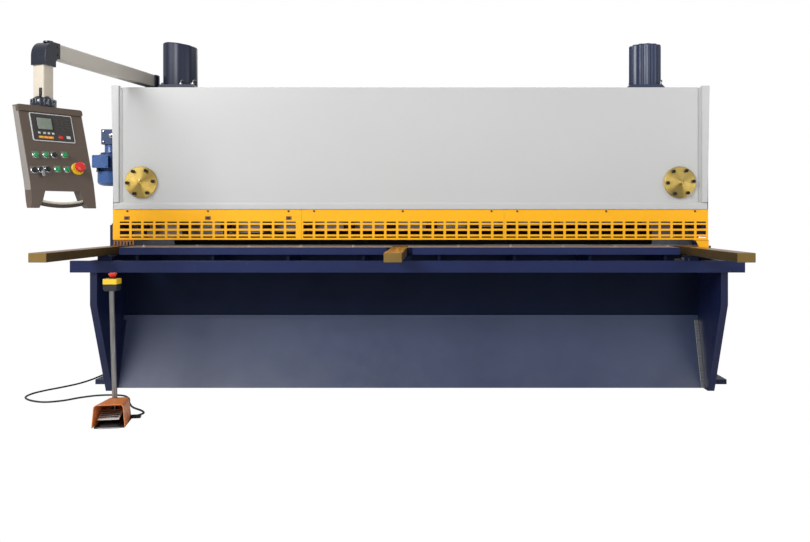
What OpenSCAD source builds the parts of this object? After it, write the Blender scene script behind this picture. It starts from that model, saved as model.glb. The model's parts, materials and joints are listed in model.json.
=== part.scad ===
// Hydraulic guillotine shear of the 4 metre class, in millimetres.
// X runs along the blades, Y runs to the back and Z is up.
// The origin is the middle of the four anchor holes, at floor level.

/* [Frame] */
// Width over the two side frames
machine_w = 4200; // [3600:10:4600]
// Thickness of a side frame plate
frame_t = 48; // [36:1:60]
// Height of the table's top face
bed_h = 1000; // [960:5:1030]
// Height of the front panel's top edge
panel_h = 2113; // [2050:1:2180]
// Distance of the panel's face in front of the anchor centre
face_y = 700; // [690:1:712]
// Distance of the side frames' back edge behind the anchor centre
back_y = 750; // [740:5:900]
// Distance of the legs' front edge in front of the anchor centre
leg_y = 1064; // [1040:1:1100]
// Distance of the legs' toe in front of the anchor centre
toe_y = 810; // [760:5:860]
// Height of the bend in the legs
knee_h = 620; // [560:5:700]
// Width of the throat slot's mouth, above the table
throat_h = 60; // [52:1:70]

/* [Feet] */
// Thickness of a foot plate
foot_t = 35; // [20:1:50]
// How far a foot plate stands out of its frame
foot_w = 165; // [130:5:200]
// Length of one foot plate
foot_len = 280; // [200:5:300]
// Distance between the two rows of anchor holes, front to back
anchor_y = 900; // [860:10:940]
// Distance of an anchor hole from the side frame's outer face
anchor_out = 90; // [70:1:110]
// Radius of an anchor hole
anchor_r = 15; // [10:0.5:20]

/* [Front panel] */
// Width of the strip that covers a side frame's front edge
post_w = 56; // [50:1:70]
// How far the strip stands proud of the panel
post_proud = 15; // [8:1:20]
// How far the strips reach above the panel's top edge
post_over = 10; // [4:1:11]
// Thickness of the panel's sheet
panel_t = 12; // [8:1:14]
// Height of the panel's bottom lip
lip_h = 50; // [30:1:70]
// Radius of a guide cover disc
disc_r = 111; // [90:1:120]
// Distance of a guide cover's centre from the side frame's outer face
disc_in = 208; // [190:1:260]
// Height of a guide cover's centre above the table
disc_up = 444; // [420:1:500]

/* [Guard] */
// Height of the guard's bottom edge above the table
guard_gap = 40; // [38:1:46]
// Height of the guard's sheet
guard_h = 214; // [206:1:224]
// Thickness of the guard's sheet
guard_t = 4; // [3:0.5:5]
// Distance from one slot to the next
slot_pitch = 83.6; // [80:0.2:88]
// Width of a guard slot
slot_w = 66; // [55:1:70]
// Length of the guard's left sheet
sheet_left = 1327; // [1310:1:1335]
// Length of the guard's middle sheet
sheet_mid = 1424; // [1415:1:1435]

/* [Table and blades] */
// Distance of the cutting plane in front of the anchor centre
cut_y = 500; // [495:1:505]
// Thickness of the table plate
table_t = 48; // [40:1:52]
// Thickness of the bed's upright web
web_t = 75; // [60:1:78]
// Gap between the ram's sides and the side frames
side_gap = 12; // [8:1:16]
// Distance of the ram's top edge below the side frames' top edge
ram_drop = 283; // [260:1:320]
// Depth of the ribs behind the ram
rib_d = 60; // [40:5:65]
// Thickness of both blades
blade_t = 25; // [20:1:30]
// Height of both blades
blade_h = 90; // [80:1:110]
// Gap between the two blades
blade_gap = 5; // [4:0.5:6]
// Slope of the upper blade in degrees
rake = 1.5; // [1.2:0.1:1.6]
// Height of the upper blade's low end above the table
blade_open = 60; // [56:1:70]
// Height of the table rail
rail_h = 78; // [60:1:84]
// Thickness of the table rail
rail_t = 30; // [20:1:36]
// How far the rail reaches past the side frames
rail_over = 110; // [60:5:150]
// Drop from the table's top face to the rail
rail_drop = 86; // [84:1:96]

/* [Support arms] */
// Width of a support arm
arm_w = 103; // [80:1:110]
// Height of a support arm
arm_h = 54; // [46:1:60]
// Distance of the arms' front ends in front of the anchor centre
arm_y = 1870; // [1500:10:2100]
// Distance from one support arm to the next
arm_pitch = 1970; // [1750:10:1975]
// Place of the middle support arm along the table
arm_mid_x = -66; // [-80:1:-60]

/* [Hydraulics] */
// Radius of a main cylinder's barrel
barrel_r = 122; // [105:1:128]
// Height of a main cylinder above its flange
barrel_h = 330; // [280:5:420]
// Distance of a main cylinder's axis from the side frame's outer face
cyl_in = 380; // [376:1:450]
// Distance of the cylinders' axis in front of the anchor centre
cyl_y = 400; // [396:1:404]
// Radius of a piston rod
rod_r = 55; // [40:1:62]
// Number of hold-down cylinders
hold_n = 14; // [10:1:16]
// Radius of a hold-down foot
hold_r = 34; // [26:1:38]

/* [Pendant] */
// Distance of the boom's pivot from the side frame's outer face
boom_in = 180; // [172:1:184]
// Length of the boom from its pivot to its drop tube
boom_len = 1184; // [1100:2:1400]
// Angle of the boom to the left of straight forward, in degrees
boom_turn = 11.5; // [5:0.5:30]
// Width of the pendant box
pend_w = 365; // [330:1:400]
// Height of the pendant box
pend_h = 600; // [590:1:640]
// Depth of the pendant box
pend_d = 80; // [70:1:100]
// Turn of the pendant towards the machine's middle, in degrees
pend_turn = 46; // [0:1:60]
// Lean of the pendant's lower end towards the operator, in degrees
pend_lean = 13; // [5:1:18]

/* [Foot switch] */
// Width of the hood
hood_w = 215; // [190:1:240]
// Depth of the hood
hood_d = 225; // [200:1:240]
// Height of the hood
hood_h = 135; // [125:1:150]
// Height of the stand's post above the floor
stand_h = 760; // [700:5:850]

/* [Hidden] */

$fn = 48;
half_w = machine_w / 2;
inner_w = half_w - frame_t;
round_fit = 0.3;

// Levels
rail_z = bed_h - rail_drop - rail_h;
rail_top = bed_h - rail_drop;
guard_z = bed_h + guard_gap;
guard_top = guard_z + guard_h;
frame_top = panel_h - 30;
seat_t = 37;
seat_top = frame_top + seat_t;

slope_z = frame_top - 430;
slope_y = 200;

// Depths, counted forward from the anchor centre
lip_y = face_y + 12;
post_y = face_y + post_proud;
edge_y = face_y - 15;
table_y = face_y + 40;
bar_y = leg_y + 6;
bar_t = 20;
web_back = cut_y + blade_t;
web_front = web_back + web_t;
web_low = 300;

// Upper blade and ram
blade_half = inner_w - 22;
ram_half = inner_w - side_gap;
ram_t = 60;
ram_top = frame_top - ram_drop;
ram_front = cut_y - blade_gap;
ram_back = ram_front - blade_t - ram_t;
rib_t = 20;
rib_low = bed_h + 240;
rib_mid = (rib_low + ram_top - rib_t) / 2 - 70;
rib_gap = 0.5;
function blade_z(x) = bed_h + blade_open + (x + blade_half) * tan(rake);

// Hold-down row
hold_y = face_y - 76;
hold_rod_r = 22;
hold_low = 35;
hold_body_r = 40;
beam_z = bed_h + 180;
beam_top = bed_h + 330;
beam_back = hold_y - 64;
hold_end = 150;
hold_pitch = 2 * (inner_w - hold_end) / (hold_n - 1);
hold_body_z = bed_h + 105;

// Profile in Y and Z, carried along X from x0
module along_x(x0, len) {
    translate([x0, 0, 0]) rotate([90, 0, 90]) linear_extrude(len) children();
}

// Outline in X and Z, carried along Y from y0 to the back
module along_y(y0, len) {
    translate([0, y0 + len, 0]) rotate([90, 0, 0]) linear_extrude(len) children();
}

// Rectangle with round corners, made of exact shapes
module soft_square(w, h, r) {
    translate([r, 0]) square([w - 2 * r, h]);
    translate([0, r]) square([w, h - 2 * r]);
    for (x = [r, w - r], y = [r, h - r]) translate([x, y]) circle(r);
}

// Round bar between two heights
module post_bar(x, y, z0, z1, r) {
    translate([x, y, z0]) cylinder(h = z1 - z0, r = r);
}

module side_profile() {
    relief = 40;
    shoulder = 350;
    toe_len = 250;
    difference() {
        polygon([[-toe_y, 0], [-leg_y, knee_h], [-leg_y, rail_top], [-table_y, rail_top],
            [-table_y, bed_h], [-edge_y, bed_h], [-edge_y, frame_top], [shoulder, frame_top],
            [back_y, slope_z], [back_y, 0], [back_y - slope_y, 0],
            [back_y - slope_y - relief, relief], [-toe_y + toe_len + relief, relief], [-toe_y + toe_len, 0]]);
        throat_end = throat_h / 2;
        translate([-table_y - 1, bed_h]) square([table_y - cut_y + 1, throat_h]);
        translate([-cut_y, bed_h + throat_end]) circle(throat_end);
    }
}

module side_frame(side) {
    color("midnightblue") along_x(side < 0 ? -half_w : inner_w, frame_t) side_profile();
}

module foot_plates() {
    gusset_t = 16;
    gusset_h = 110;
    color("midnightblue") for (side = [-1, 1], end = [-1, 1]) {
        x0 = side < 0 ? -half_w - foot_w : half_w;
        yc = end * anchor_y / 2;
        difference() {
            union() {
                translate([x0, yc - foot_len / 2, 0]) cube([foot_w, foot_len, foot_t]);
                translate([0, yc - gusset_t / 2 - end * 70, 0]) along_y(0, gusset_t)
                    polygon([[side * half_w, foot_t - 1], [side * (half_w + foot_w - 20), foot_t - 1],
                        [side * half_w, foot_t + gusset_h]]);
            }
            translate([side * (half_w + anchor_out), yc, -1]) cylinder(h = foot_t + 2, r = anchor_r);
        }
    }
}

module front_post(side) {
    z0 = guard_top;
    z1 = panel_h + post_over;
    bevel = 5;
    color("gainsboro") along_x(side < 0 ? -half_w : half_w - post_w, post_w)
        polygon([[-edge_y, z0], [-edge_y, z1], [-post_y + bevel, z1], [-post_y, z1 - bevel], [-post_y, z0]]);
}

module front_panel() {
    span = half_w - post_w;
    groove_w = 10;
    groove_d = 6;
    flange_low = guard_top - 39;
    flange_d = 60;
    color("gainsboro") difference() {
        along_x(-span, 2 * span)
            polygon([[-face_y, flange_low], [-face_y, guard_top], [-lip_y, guard_top],
                [-lip_y, guard_top + lip_h - 12], [-face_y, guard_top + lip_h], [-face_y, panel_h],
                [-face_y + flange_d, panel_h], [-face_y + flange_d, panel_h - panel_t],
                [-face_y + panel_t, panel_h - panel_t], [-face_y + panel_t, flange_low]]);
        for (x = [-span + 12, span - 12 - groove_w])
            translate([x, -face_y - 1, guard_top + lip_h]) cube([groove_w, groove_d + 1, panel_h]);
    }
}

module guide_cover(side) {
    rim = 20;
    crown = 34;
    hub = 42;
    hub_r = 16;
    color("goldenrod") translate([side * (half_w - disc_in), -face_y, bed_h + disc_up])
        rotate([90, 0, 0]) rotate_extrude($fn = 96)
            polygon([[0, 0], [disc_r, 0], [disc_r, rim - 3], [disc_r - 3, rim], [disc_r - 10, rim],
                [hub_r + 4, crown], [hub_r, crown], [hub_r, hub], [0, hub]]);
}

// Sheet of the guard between two places, with rows of slots from x0 and a row of screw holes
module guard_sheet(xa, xb, x0, columns) {
    row_z = [[13.5, 10], [37.5, 25.5], [78, 27], [118, 10]];
    color("darkorange") along_y(-face_y - guard_t, guard_t) difference() {
        translate([xa, guard_z]) square([xb - xa, guard_h]);
        for (i = [0:columns - 1], row = row_z)
            translate([x0 + i * slot_pitch, guard_z + row[0]]) square([slot_w, row[1]]);
    }
}

guard_half = half_w - 7;
seam_left = -guard_half + sheet_left;
seam_right = seam_left + sheet_mid;
seam_gap = 1;

module guard_left() {
    guard_sheet(-guard_half, seam_left - seam_gap, -guard_half + 49, 15);
}

module guard_centre() {
    guard_sheet(seam_left, seam_right - seam_gap, seam_left + 12, 17);
}

module guard_right() {
    guard_sheet(seam_right, guard_half, seam_right + 16, 17);
}

// Folded end piece that joins the guard to the side frame at the table's end
module guard_ends() {
    len = 110;
    lows = [bed_h + 2, bed_h - 35];
    for (i = [0, 1])
        color("darkorange") along_x(i == 0 ? -guard_half : guard_half - len, len)
            polygon([[-table_y - guard_t, lows[i]], [-table_y - guard_t, guard_z], [-face_y, guard_z],
                [-face_y, guard_z - guard_t], [-table_y, guard_z - guard_t], [-table_y, lows[i]]]);
}

module hold_down_beam() {
    color("slategray") difference() {
        union() {
            translate([-inner_w, -edge_y, beam_z])
                cube([2 * inner_w, edge_y - beam_back, beam_top - beam_z]);
            for (i = [0:hold_n - 1])
                post_bar(-inner_w + hold_end + i * hold_pitch, -hold_y, hold_body_z, beam_z + 1, hold_body_r);
        }
        for (i = [0:hold_n - 1])
            post_bar(-inner_w + hold_end + i * hold_pitch, -hold_y, hold_body_z - 1, beam_z + 60,
                hold_rod_r + round_fit);
    }
}

module hold_down_feet() {
    foot_z = bed_h + hold_low;
    pad_h = 22;
    color("silver") for (i = [0:hold_n - 1]) {
        x = -inner_w + hold_end + i * hold_pitch;
        post_bar(x, -hold_y, foot_z, foot_z + pad_h, hold_r);
        post_bar(x, -hold_y, foot_z + pad_h - 1, beam_z + 40, hold_rod_r);
    }
}

arm_x = [arm_mid_x - arm_pitch, arm_mid_x, arm_mid_x + arm_pitch];
bar_left = arm_x[0] + arm_w / 2 + 80;
bar_right = arm_x[2] - arm_w / 2 - 70;
arm_fit = 1;

module table_slot() {
    translate([arm_mid_x - arm_w / 2 - arm_fit, -leg_y - 100, bed_h - 100])
        cube([arm_w + 2 * arm_fit, leg_y + 100 - table_y, 200]);
}

module bed() {
    gusset_t = 20;
    gusset_n = 8;
    gusset_step = (bar_right - bar_left - 200) / (gusset_n - 1);
    color("silver") difference() {
        union() {
            translate([-inner_w, -table_y, bed_h - table_t])
                cube([2 * inner_w, table_y - web_back, table_t]);
            translate([bar_left, -bar_y + bar_t, bed_h - table_t])
                cube([bar_right - bar_left, bar_y - bar_t - table_y + 1, table_t]);
            translate([-inner_w, -web_front, web_low])
                cube([2 * inner_w, web_t, bed_h - table_t - web_low + 1]);
            for (i = [0:gusset_n - 1])
                along_x(bar_left + 100 + i * gusset_step, gusset_t)
                    polygon([[-leg_y, rail_z], [-leg_y, rail_top], [-bar_y + bar_t, rail_top],
                        [-bar_y + bar_t, bed_h - table_t + 1], [-web_front + 1, bed_h - table_t + 1],
                        [-web_front + 1, rail_z]]);
        }
        table_slot();
    }
}

module table_front_bar() {
    color("royalblue") difference() {
        translate([bar_left, -bar_y, bed_h - table_t]) cube([bar_right - bar_left, bar_t, table_t]);
        table_slot();
    }
}

module lower_blade() {
    color("silver") translate([-blade_half, -web_back, bed_h - blade_h])
        cube([2 * blade_half, blade_t, blade_h]);
}

module table_rail() {
    color("midnightblue") translate([-half_w - rail_over, -leg_y - rail_t, rail_z])
        cube([2 * (half_w + rail_over), rail_t, rail_h]);
}

module lower_apron() {
    sheet = 12;
    top_z = 500;
    foot_y = 760;
    low_z = 10;
    color("midnightblue") along_x(-inner_w, 2 * inner_w)
        polygon([[-foot_y, low_z], [-web_front - sheet, top_z - 35], [-web_front - sheet, top_z],
            [-web_front, top_z], [-web_front, top_z - 38], [-foot_y + sheet, low_z]]);
}

module support_arm(i) {
    groove_w = 14;
    groove_d = 10;
    pad_len = 90;
    color("darkgoldenrod") difference() {
        union() {
            translate([arm_x[i] - arm_w / 2, -arm_y, bed_h - arm_h]) cube([arm_w, arm_y - table_y, arm_h]);
            translate([arm_x[i] - arm_w / 2, -leg_y - rail_t, rail_top])
                cube([arm_w, pad_len, bed_h - arm_h - rail_top + 1]);
        }
        translate([arm_x[i] - groove_w / 2, -arm_y - 1, bed_h - groove_d])
            cube([groove_w, arm_y - table_y + 2, groove_d + 1]);
    }
}

// Main cylinders, their seats and rods
cyl_x = half_w - cyl_in;
flange_w = 280;
flange_t = 40;
snout_r = 100;
snout_low = frame_top - 95;
rod_low = ram_top + 60;
rod_top = snout_low + 270;

module cylinder_seats() {
    seat_front = 600;
    seat_back = 200;
    reach = 580;
    rib_h = 150;
    color("midnightblue") for (side = [-1, 1]) difference() {
        x0 = side < 0 ? -half_w : half_w - reach;
        union() {
            translate([x0, -seat_front, frame_top]) cube([reach, seat_front - seat_back, seat_t]);
            for (y = [-seat_front + 10, -seat_back - 34])
                translate([0, y, 0]) along_y(0, 24)
                    polygon([[side * inner_w, frame_top + 1], [side * (half_w - reach), frame_top + 1],
                        [side * inner_w, frame_top - rib_h]]);
        }
        post_bar(side * cyl_x, -cyl_y, frame_top - 1, seat_top + 1, snout_r + round_fit);
    }
}

// Barrel with upright flutes, flange, snout, cap and side port
module main_cylinder(side, flutes) {
    flute_r = 12;
    flute_c = barrel_r - flute_r - 1.5;
    cap_h = 14;
    z1 = seat_top + flange_t;
    color("midnightblue") difference() {
        union() {
            translate([side * cyl_x - flange_w / 2, -cyl_y - flange_w / 2, seat_top])
                cube([flange_w, flange_w, flange_t]);
            post_bar(side * cyl_x, -cyl_y, z1 - 1, z1 + barrel_h - cap_h, barrel_r - 4);
            post_bar(side * cyl_x, -cyl_y, z1 + barrel_h - cap_h - 1, z1 + barrel_h, barrel_r);
            post_bar(side * cyl_x, -cyl_y, snout_low, seat_top + 1, snout_r);
            for (i = [1:flutes]) {
                a = (i + 0.5) * 360 / flutes;
                post_bar(side * cyl_x + flute_c * cos(a), -cyl_y + flute_c * sin(a),
                    z1 - 1, z1 + barrel_h - cap_h - 0.5, flute_r);
            }
            translate([side * (cyl_x + barrel_r - 30) - 25, -cyl_y - 60, z1 - 1]) cube([50, 60, 76]);
        }
        post_bar(side * cyl_x, -cyl_y, snout_low - 1, z1 + barrel_h - 45, rod_r + round_fit);
    }
}

module piston_rods() {
    color("silver") for (side = [-1, 1]) post_bar(side * cyl_x, -cyl_y, rod_low, rod_top, rod_r);
}

lug_w = 220;
lug_d = 140;

module ram() {
    color("slategray") union() {
        along_y(-ram_back - ram_t, ram_t)
            polygon([[-ram_half, blade_z(-ram_half) + 8], [ram_half, blade_z(ram_half) + 8],
                [ram_half, ram_top], [-ram_half, ram_top]]);
        along_y(-ram_front, blade_t + 1)
            polygon([[-ram_half, blade_z(-ram_half) + blade_h], [ram_half, blade_z(ram_half) + blade_h],
                [ram_half, ram_top], [-ram_half, ram_top]]);
        for (side = [-1, 1])
            translate([side * cyl_x - lug_w / 2, -cyl_y - lug_d / 2, ram_top - 1])
                cube([lug_w, lug_d, rod_low - ram_top + 1]);
    }
}

// Level and upright ribs welded to the back of the ram
module ram_ribs() {
    rib_n = 6;
    rib_step = 600;
    rib_in = 110;
    levels = [rib_low, rib_mid, ram_top - 1 - rib_t];
    color("slategray") {
        for (z = levels)
            translate([-ram_half + rib_in, -ram_back, z]) cube([2 * (ram_half - rib_in), rib_d, rib_t]);
        for (i = [0:rib_n - 1], row = [0, 1])
            translate([(i - (rib_n - 1) / 2) * rib_step - rib_t / 2, -ram_back, levels[row] + rib_t + rib_gap])
                cube([rib_t, rib_d, levels[row + 1] - levels[row] - rib_t - 2 * rib_gap]);
    }
}

module upper_blade() {
    color("silver") along_y(-ram_front, blade_t)
        polygon([[-blade_half, blade_z(-blade_half)], [blade_half, blade_z(blade_half)],
            [blade_half, blade_z(blade_half) + blade_h], [-blade_half, blade_z(-blade_half) + blade_h]]);
}

module guide_rails() {
    reach = 96;
    low = bed_h + 100;
    gap = 5;
    color("silver") for (side = [-1, 1])
        translate([side < 0 ? -inner_w : inner_w - reach, -ram_back + gap, low])
            cube([reach, rib_d - gap, frame_top - 83 - low]);
}

// Back gauge, hung behind the ram and ending short of the rear beam
tank_y = 150;
beam_in = 90;
gauge_x = 1400;
gauge_z = bed_h + 300;
gauge_r = 25;
gauge_end = tank_y + beam_in - 15;
screw_in = 70;
screw_r = 12;
gauge_bar_y = 40;

module gauge_rails() {
    color("silver") for (side = [-1, 1])
        translate([side * gauge_x, -ram_back, gauge_z]) rotate([-90, 0, 0])
            cylinder(h = ram_back + gauge_end, r = gauge_r);
}

module gauge_screws() {
    color("silver") for (side = [-1, 1])
        translate([side * (gauge_x + screw_in), -ram_back, gauge_z]) rotate([-90, 0, 0])
            cylinder(h = ram_back + gauge_end - 20, r = screw_r);
}

module gauge_bar() {
    low = bed_h - 10;
    bar_h = 110;
    end_gap = 150;
    head_w = 180;
    head_d = 70;
    color("dimgray") difference() {
        union() {
            translate([-inner_w + end_gap, gauge_bar_y, low]) cube([2 * (inner_w - end_gap), 40, bar_h]);
            for (side = [-1, 1])
                translate([side * (gauge_x + screw_in / 2) - head_w / 2, gauge_bar_y, low + bar_h - 1])
                    cube([head_w, head_d, gauge_z + 50 - low - bar_h + 1]);
        }
        for (side = [-1, 1]) {
            translate([side * gauge_x, gauge_bar_y - 1, gauge_z]) rotate([-90, 0, 0])
                cylinder(h = head_d + 2, r = gauge_r + round_fit);
            translate([side * (gauge_x + screw_in), gauge_bar_y - 1, gauge_z]) rotate([-90, 0, 0])
                cylinder(h = head_d + 2, r = screw_r + round_fit);
        }
    }
}

// Rear of the machine
rear_beam_h = 150;
rear_beam_d = 200;
tank_w = 1100;
tank_d = 430;
tank_h = 480;
tank_drop = 98;
tank_z = frame_top - tank_drop - tank_h - 10;
rear_beam_z = tank_z - rear_beam_h;

module rear_beam() {
    color("midnightblue") translate([-inner_w, tank_y + beam_in, rear_beam_z])
        cube([2 * inner_w, rear_beam_d, rear_beam_h]);
}

module oil_tank() {
    over = 15;
    filler_h = 70;
    color("midnightblue") union() {
        translate([-tank_w / 2, tank_y, tank_z]) cube([tank_w, tank_d, tank_h]);
        translate([-tank_w / 2 - over, tank_y - over, tank_z + tank_h - 1])
            cube([tank_w + 2 * over, tank_d + 2 * over, 11]);
        post_bar(tank_w / 2 - 120, tank_y + 100, tank_z + tank_h, tank_z + tank_h + filler_h, 40);
    }
}

pump_x = -190;
pump_len = 330;
pump_r = 95;
bell_len = 80;
block_w = 90;
block_d = 130;
block_x = pump_x + pump_len + bell_len - 2;

module pump_motor() {
    z0 = tank_z + tank_h + 10;
    axis_z = z0 + pump_r + 10;
    yc = tank_y + tank_d / 2;
    foot_in = 40;
    box_w = 110;
    color("midnightblue") union() {
        translate([pump_x + foot_in, yc - block_d / 2, z0]) cube([pump_len - 2 * foot_in, block_d, foot_in]);
        translate([pump_x, yc, axis_z]) rotate([0, 90, 0]) cylinder(h = pump_len, r = pump_r);
        translate([pump_x + pump_len - 1, yc, axis_z]) rotate([0, 90, 0]) cylinder(h = bell_len, r = 60);
        translate([pump_x + 130, yc - box_w / 2, axis_z + pump_r - 15]) cube([box_w, box_w, 50]);
        translate([block_x, yc - block_d / 2, z0]) cube([block_w, block_d, pipe_z + pipe_r + 7 - z0]);
    }
}

// Two steel pipes from the pump's valve block to the cylinders
pipe_r = 11;
pipe_y = 190;
pipe_z = seat_top + 52;

module pressure_pipes() {
    tee_x = block_x + block_w / 2;
    from_y = tank_y + tank_d / 2 - block_d / 2;
    color("silver") for (side = [-1, 1]) {
        x1 = side * cyl_x;
        run = side < 0 ? cyl_x + tee_x : cyl_x - tee_x;
        translate([side < 0 ? x1 : tee_x, pipe_y, pipe_z]) rotate([0, 90, 0]) cylinder(h = run, r = pipe_r);
        translate([x1, -cyl_y + barrel_r - 4, pipe_z]) rotate([-90, 0, 0])
            cylinder(h = cyl_y - barrel_r + 4 + pipe_y, r = pipe_r);
        translate([x1, pipe_y, pipe_z]) sphere(pipe_r);
    }
    color("silver") translate([tee_x, pipe_y, pipe_z]) rotate([-90, 0, 0])
        cylinder(h = from_y - pipe_y, r = pipe_r);
    color("silver") translate([tee_x, pipe_y, pipe_z]) sphere(pipe_r);
}

tie_y = back_y - 190;
tie_top = 400;
tie_d = 140;

module rear_tie() {
    color("midnightblue") translate([-inner_w, tie_y, tie_top - 200]) cube([2 * inner_w, tie_d, 200]);
}

module chute() {
    sheet = 8;
    high = 800;
    color("silver") along_x(-inner_w + 20, 2 * inner_w - 40)
        polygon([[-web_back, high], [-web_back, high + sheet], [tie_y, tie_top + sheet],
            [tie_y + tie_d, tie_top + sheet], [tie_y + tie_d, tie_top], [tie_y, tie_top],
            [-web_back + sheet * 2, high - sheet]]);
}

// Blade gap drive on the outside of the left frame
gap_y = 450;
gap_z = frame_top - 361;
motor_out = 105;
motor_r = 88;

module gap_gearbox() {
    color("royalblue") union() {
        translate([-half_w - 190, -gap_y - 80, gap_z]) cube([190, 160, 110]);
        post_bar(-half_w - motor_out, -gap_y, gap_z - 40, gap_z + 1, 62);
        post_bar(-half_w - motor_out, -gap_y, gap_z - 66, gap_z - 39, 78);
    }
}

module gap_motor() {
    top = gap_z - 66;
    fins = 9;
    fin_h = 6;
    body_h = 133;
    cover_h = 93;
    color("royalblue") union() {
        post_bar(-half_w - motor_out, -gap_y, top - body_h, top, motor_r - 8);
        for (i = [0:fins - 1])
            post_bar(-half_w - motor_out, -gap_y, top - 12 - i * 14 - fin_h, top - 12 - i * 14, motor_r);
        post_bar(-half_w - motor_out, -gap_y, top - body_h - cover_h + 26, top - body_h + 1, motor_r + 9);
        post_bar(-half_w - motor_out, -gap_y, top - body_h - cover_h + 8, top - body_h - cover_h + 27, motor_r);
        translate([-half_w - 230, -gap_y - 120, top - 96]) cube([104, 90, 92]);
    }
}

// Switch cabinet on the outside of the left frame, with the gland of the foot switch's cord
cab_w = 280;
cab_y = -60;
cab_d = 620;
cab_z = 350;
cab_h = 800;
gland_x = -half_w - 220;
gland_y = 40;

module electric_cabinet() {
    door = 18;
    color("midnightblue") union() {
        translate([-half_w - cab_w + door, cab_y, cab_z]) cube([cab_w - door, cab_d, cab_h]);
        translate([-half_w - cab_w, cab_y + 12, cab_z + 12]) cube([door + 1, cab_d - 24, cab_h - 24]);
    }
}

module cabinet_gland() {
    color("dimgray") union() {
        post_bar(gland_x, gland_y, cab_z - 14, cab_z, 15);
        translate([gland_x, gland_y, cab_z - 44]) cylinder(h = 31, r1 = 8, r2 = 12);
    }
}

// Boom that carries the pendant
pivot_x = -half_w + boom_in;
boom_w = 70;
boom_h = 108;
boom_z = seat_top + 11;
boss_r = 50;
pin_r = 25;
boom_end = boom_len - 70;
drop_w = 88;
drop_low = boom_z - 216;
coupling_r = 68;
coupling_h = 58;

// Places children at the boom's pivot, with the boom along minus Y
module at_boom() {
    translate([pivot_x, -cyl_y, 0]) rotate([0, 0, -boom_turn]) children();
}

module boom_base() {
    color("midnightblue") union() {
        post_bar(pivot_x, -cyl_y, seat_top, seat_top + 8, 58);
        post_bar(pivot_x, -cyl_y, seat_top + 7, boom_z + boom_h + 4, pin_r);
        post_bar(pivot_x, -cyl_y, boom_z + boom_h + 1, boom_z + boom_h + 12, 34);
    }
}

module boom() {
    color("wheat") at_boom() difference() {
        union() {
            translate([-boom_w / 2, -boom_end, boom_z]) cube([boom_w, boom_end, boom_h]);
            post_bar(0, 0, boom_z - 2, boom_z + boom_h, boss_r);
        }
        post_bar(0, 0, boom_z - 3, boom_z + boom_h + 1, pin_r + round_fit);
    }
}

module boom_elbow() {
    low = boom_z - 26;
    h = boom_h + 30;
    r = 78;
    soft = 30;
    color("black") at_boom() translate([0, -boom_len, low]) difference() {
        rotate_extrude($fn = 72) difference() {
            translate([-r, 0]) soft_square(2 * r, h, soft);
            translate([-2 * r, -1]) square([2 * r, h + 2]);
        }
        translate([-boom_w / 2, 0, 26]) translate([0, r - 8, 0]) cube([boom_w, 40, boom_h]);
    }
}

module drop_tube() {
    color("wheat") at_boom() translate([0, -boom_len, 0]) union() {
        translate([-drop_w / 2, -drop_w / 2, drop_low + round_fit])
            cube([drop_w, drop_w, boom_z - 26 - drop_low - round_fit]);
        post_bar(0, 0, drop_low - coupling_h + 12, drop_low + 1, 20);
    }
}

// Places children at the pendant's top middle, with its front along minus Y
pend_x = pivot_x - boom_len * sin(boom_turn);
pend_y = -cyl_y - boom_len * cos(boom_turn);
pend_z = drop_low - coupling_h;

module at_pendant() {
    translate([pend_x, pend_y, pend_z]) rotate([0, 0, pend_turn]) rotate([-pend_lean, 0, 0]) children();
}

handle_z = 572;
handle_half = 105;
gap_top = 505;
gap_low = 553;

module pendant_housing() {
    chamfer = 14;
    lean_gap = 12;
    color("saddlebrown") union() {
        at_pendant() difference() {
            along_y(-pend_d / 2, pend_d) difference() {
                polygon([[-pend_w / 2, 0], [pend_w / 2, 0], [pend_w / 2, -pend_h + chamfer],
                    [pend_w / 2 - chamfer, -pend_h], [handle_half + 28, -pend_h],
                    [handle_half, -gap_low - 6], [handle_half, -gap_top], [-handle_half, -gap_top],
                    [-handle_half, -gap_low - 6], [-handle_half - 28, -pend_h],
                    [-pend_w / 2 + chamfer, -pend_h], [-pend_w / 2, -pend_h + chamfer]]);
            }
            translate([-157, -pend_d / 2 - 1, -444]) cube([324, 5, 206]);
            translate([-121, -pend_d / 2 - 1, -211]) cube([242, 3, 171]);
        }
        difference() {
            translate([pend_x, pend_y, 0]) post_bar(0, 0, pend_z - lean_gap, drop_low, coupling_r);
            translate([pend_x, pend_y, 0]) post_bar(0, 0, pend_z + 11, drop_low + 1, 20 + round_fit);
        }
    }
}

module pendant_display() {
    color("black") at_pendant() translate([-120, -pend_d / 2 - 3, -210]) cube([240, 5, 169]);
}

module pendant_handle() {
    color("wheat") at_pendant() translate([-handle_half, -8, -handle_z]) rotate([0, 90, 0])
        cylinder(h = 2 * handle_half, r = 12);
}

// Fixed controls on the pendant, and the hole of the stop button
panel_face = pend_d / 2 - 4;
stop_x = 112;
stop_z = 364;

module knob(x, z, r, h) {
    translate([x, -panel_face, -z]) rotate([90, 0, 0]) cylinder(h = h, r = r);
}

module pendant_controls() {
    color("dimgray") at_pendant() {
        knob(-117, 289, 17, 14);
        knob(-58, 289, 17, 14);
        knob(-15, 289, 15, 20);
        knob(44, 289, 17, 10);
        knob(-132, 378, 15, 20);
        knob(-95, 378, 13, 12);
        knob(-58, 378, 15, 20);
        knob(-6, 378, 16, 18);
        knob(47, 378, 16, 18);
        difference() {
            knob(stop_x, stop_z, 30, 8);
            translate([stop_x, -panel_face + 1, -stop_z]) rotate([90, 0, 0])
                cylinder(h = 12, r = 10 + round_fit);
        }
    }
}

module pendant_stop_button() {
    color("red") at_pendant() translate([stop_x, -panel_face, -stop_z]) rotate([90, 0, 0]) union() {
        translate([0, 0, 6]) cylinder(h = 18, r = 10);
        translate([0, 0, 18]) cylinder(h = 10, r1 = 18, r2 = 20);
        translate([0, 0, 28]) cylinder(h = 6, r1 = 20, r2 = 13);
    }
}

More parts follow.
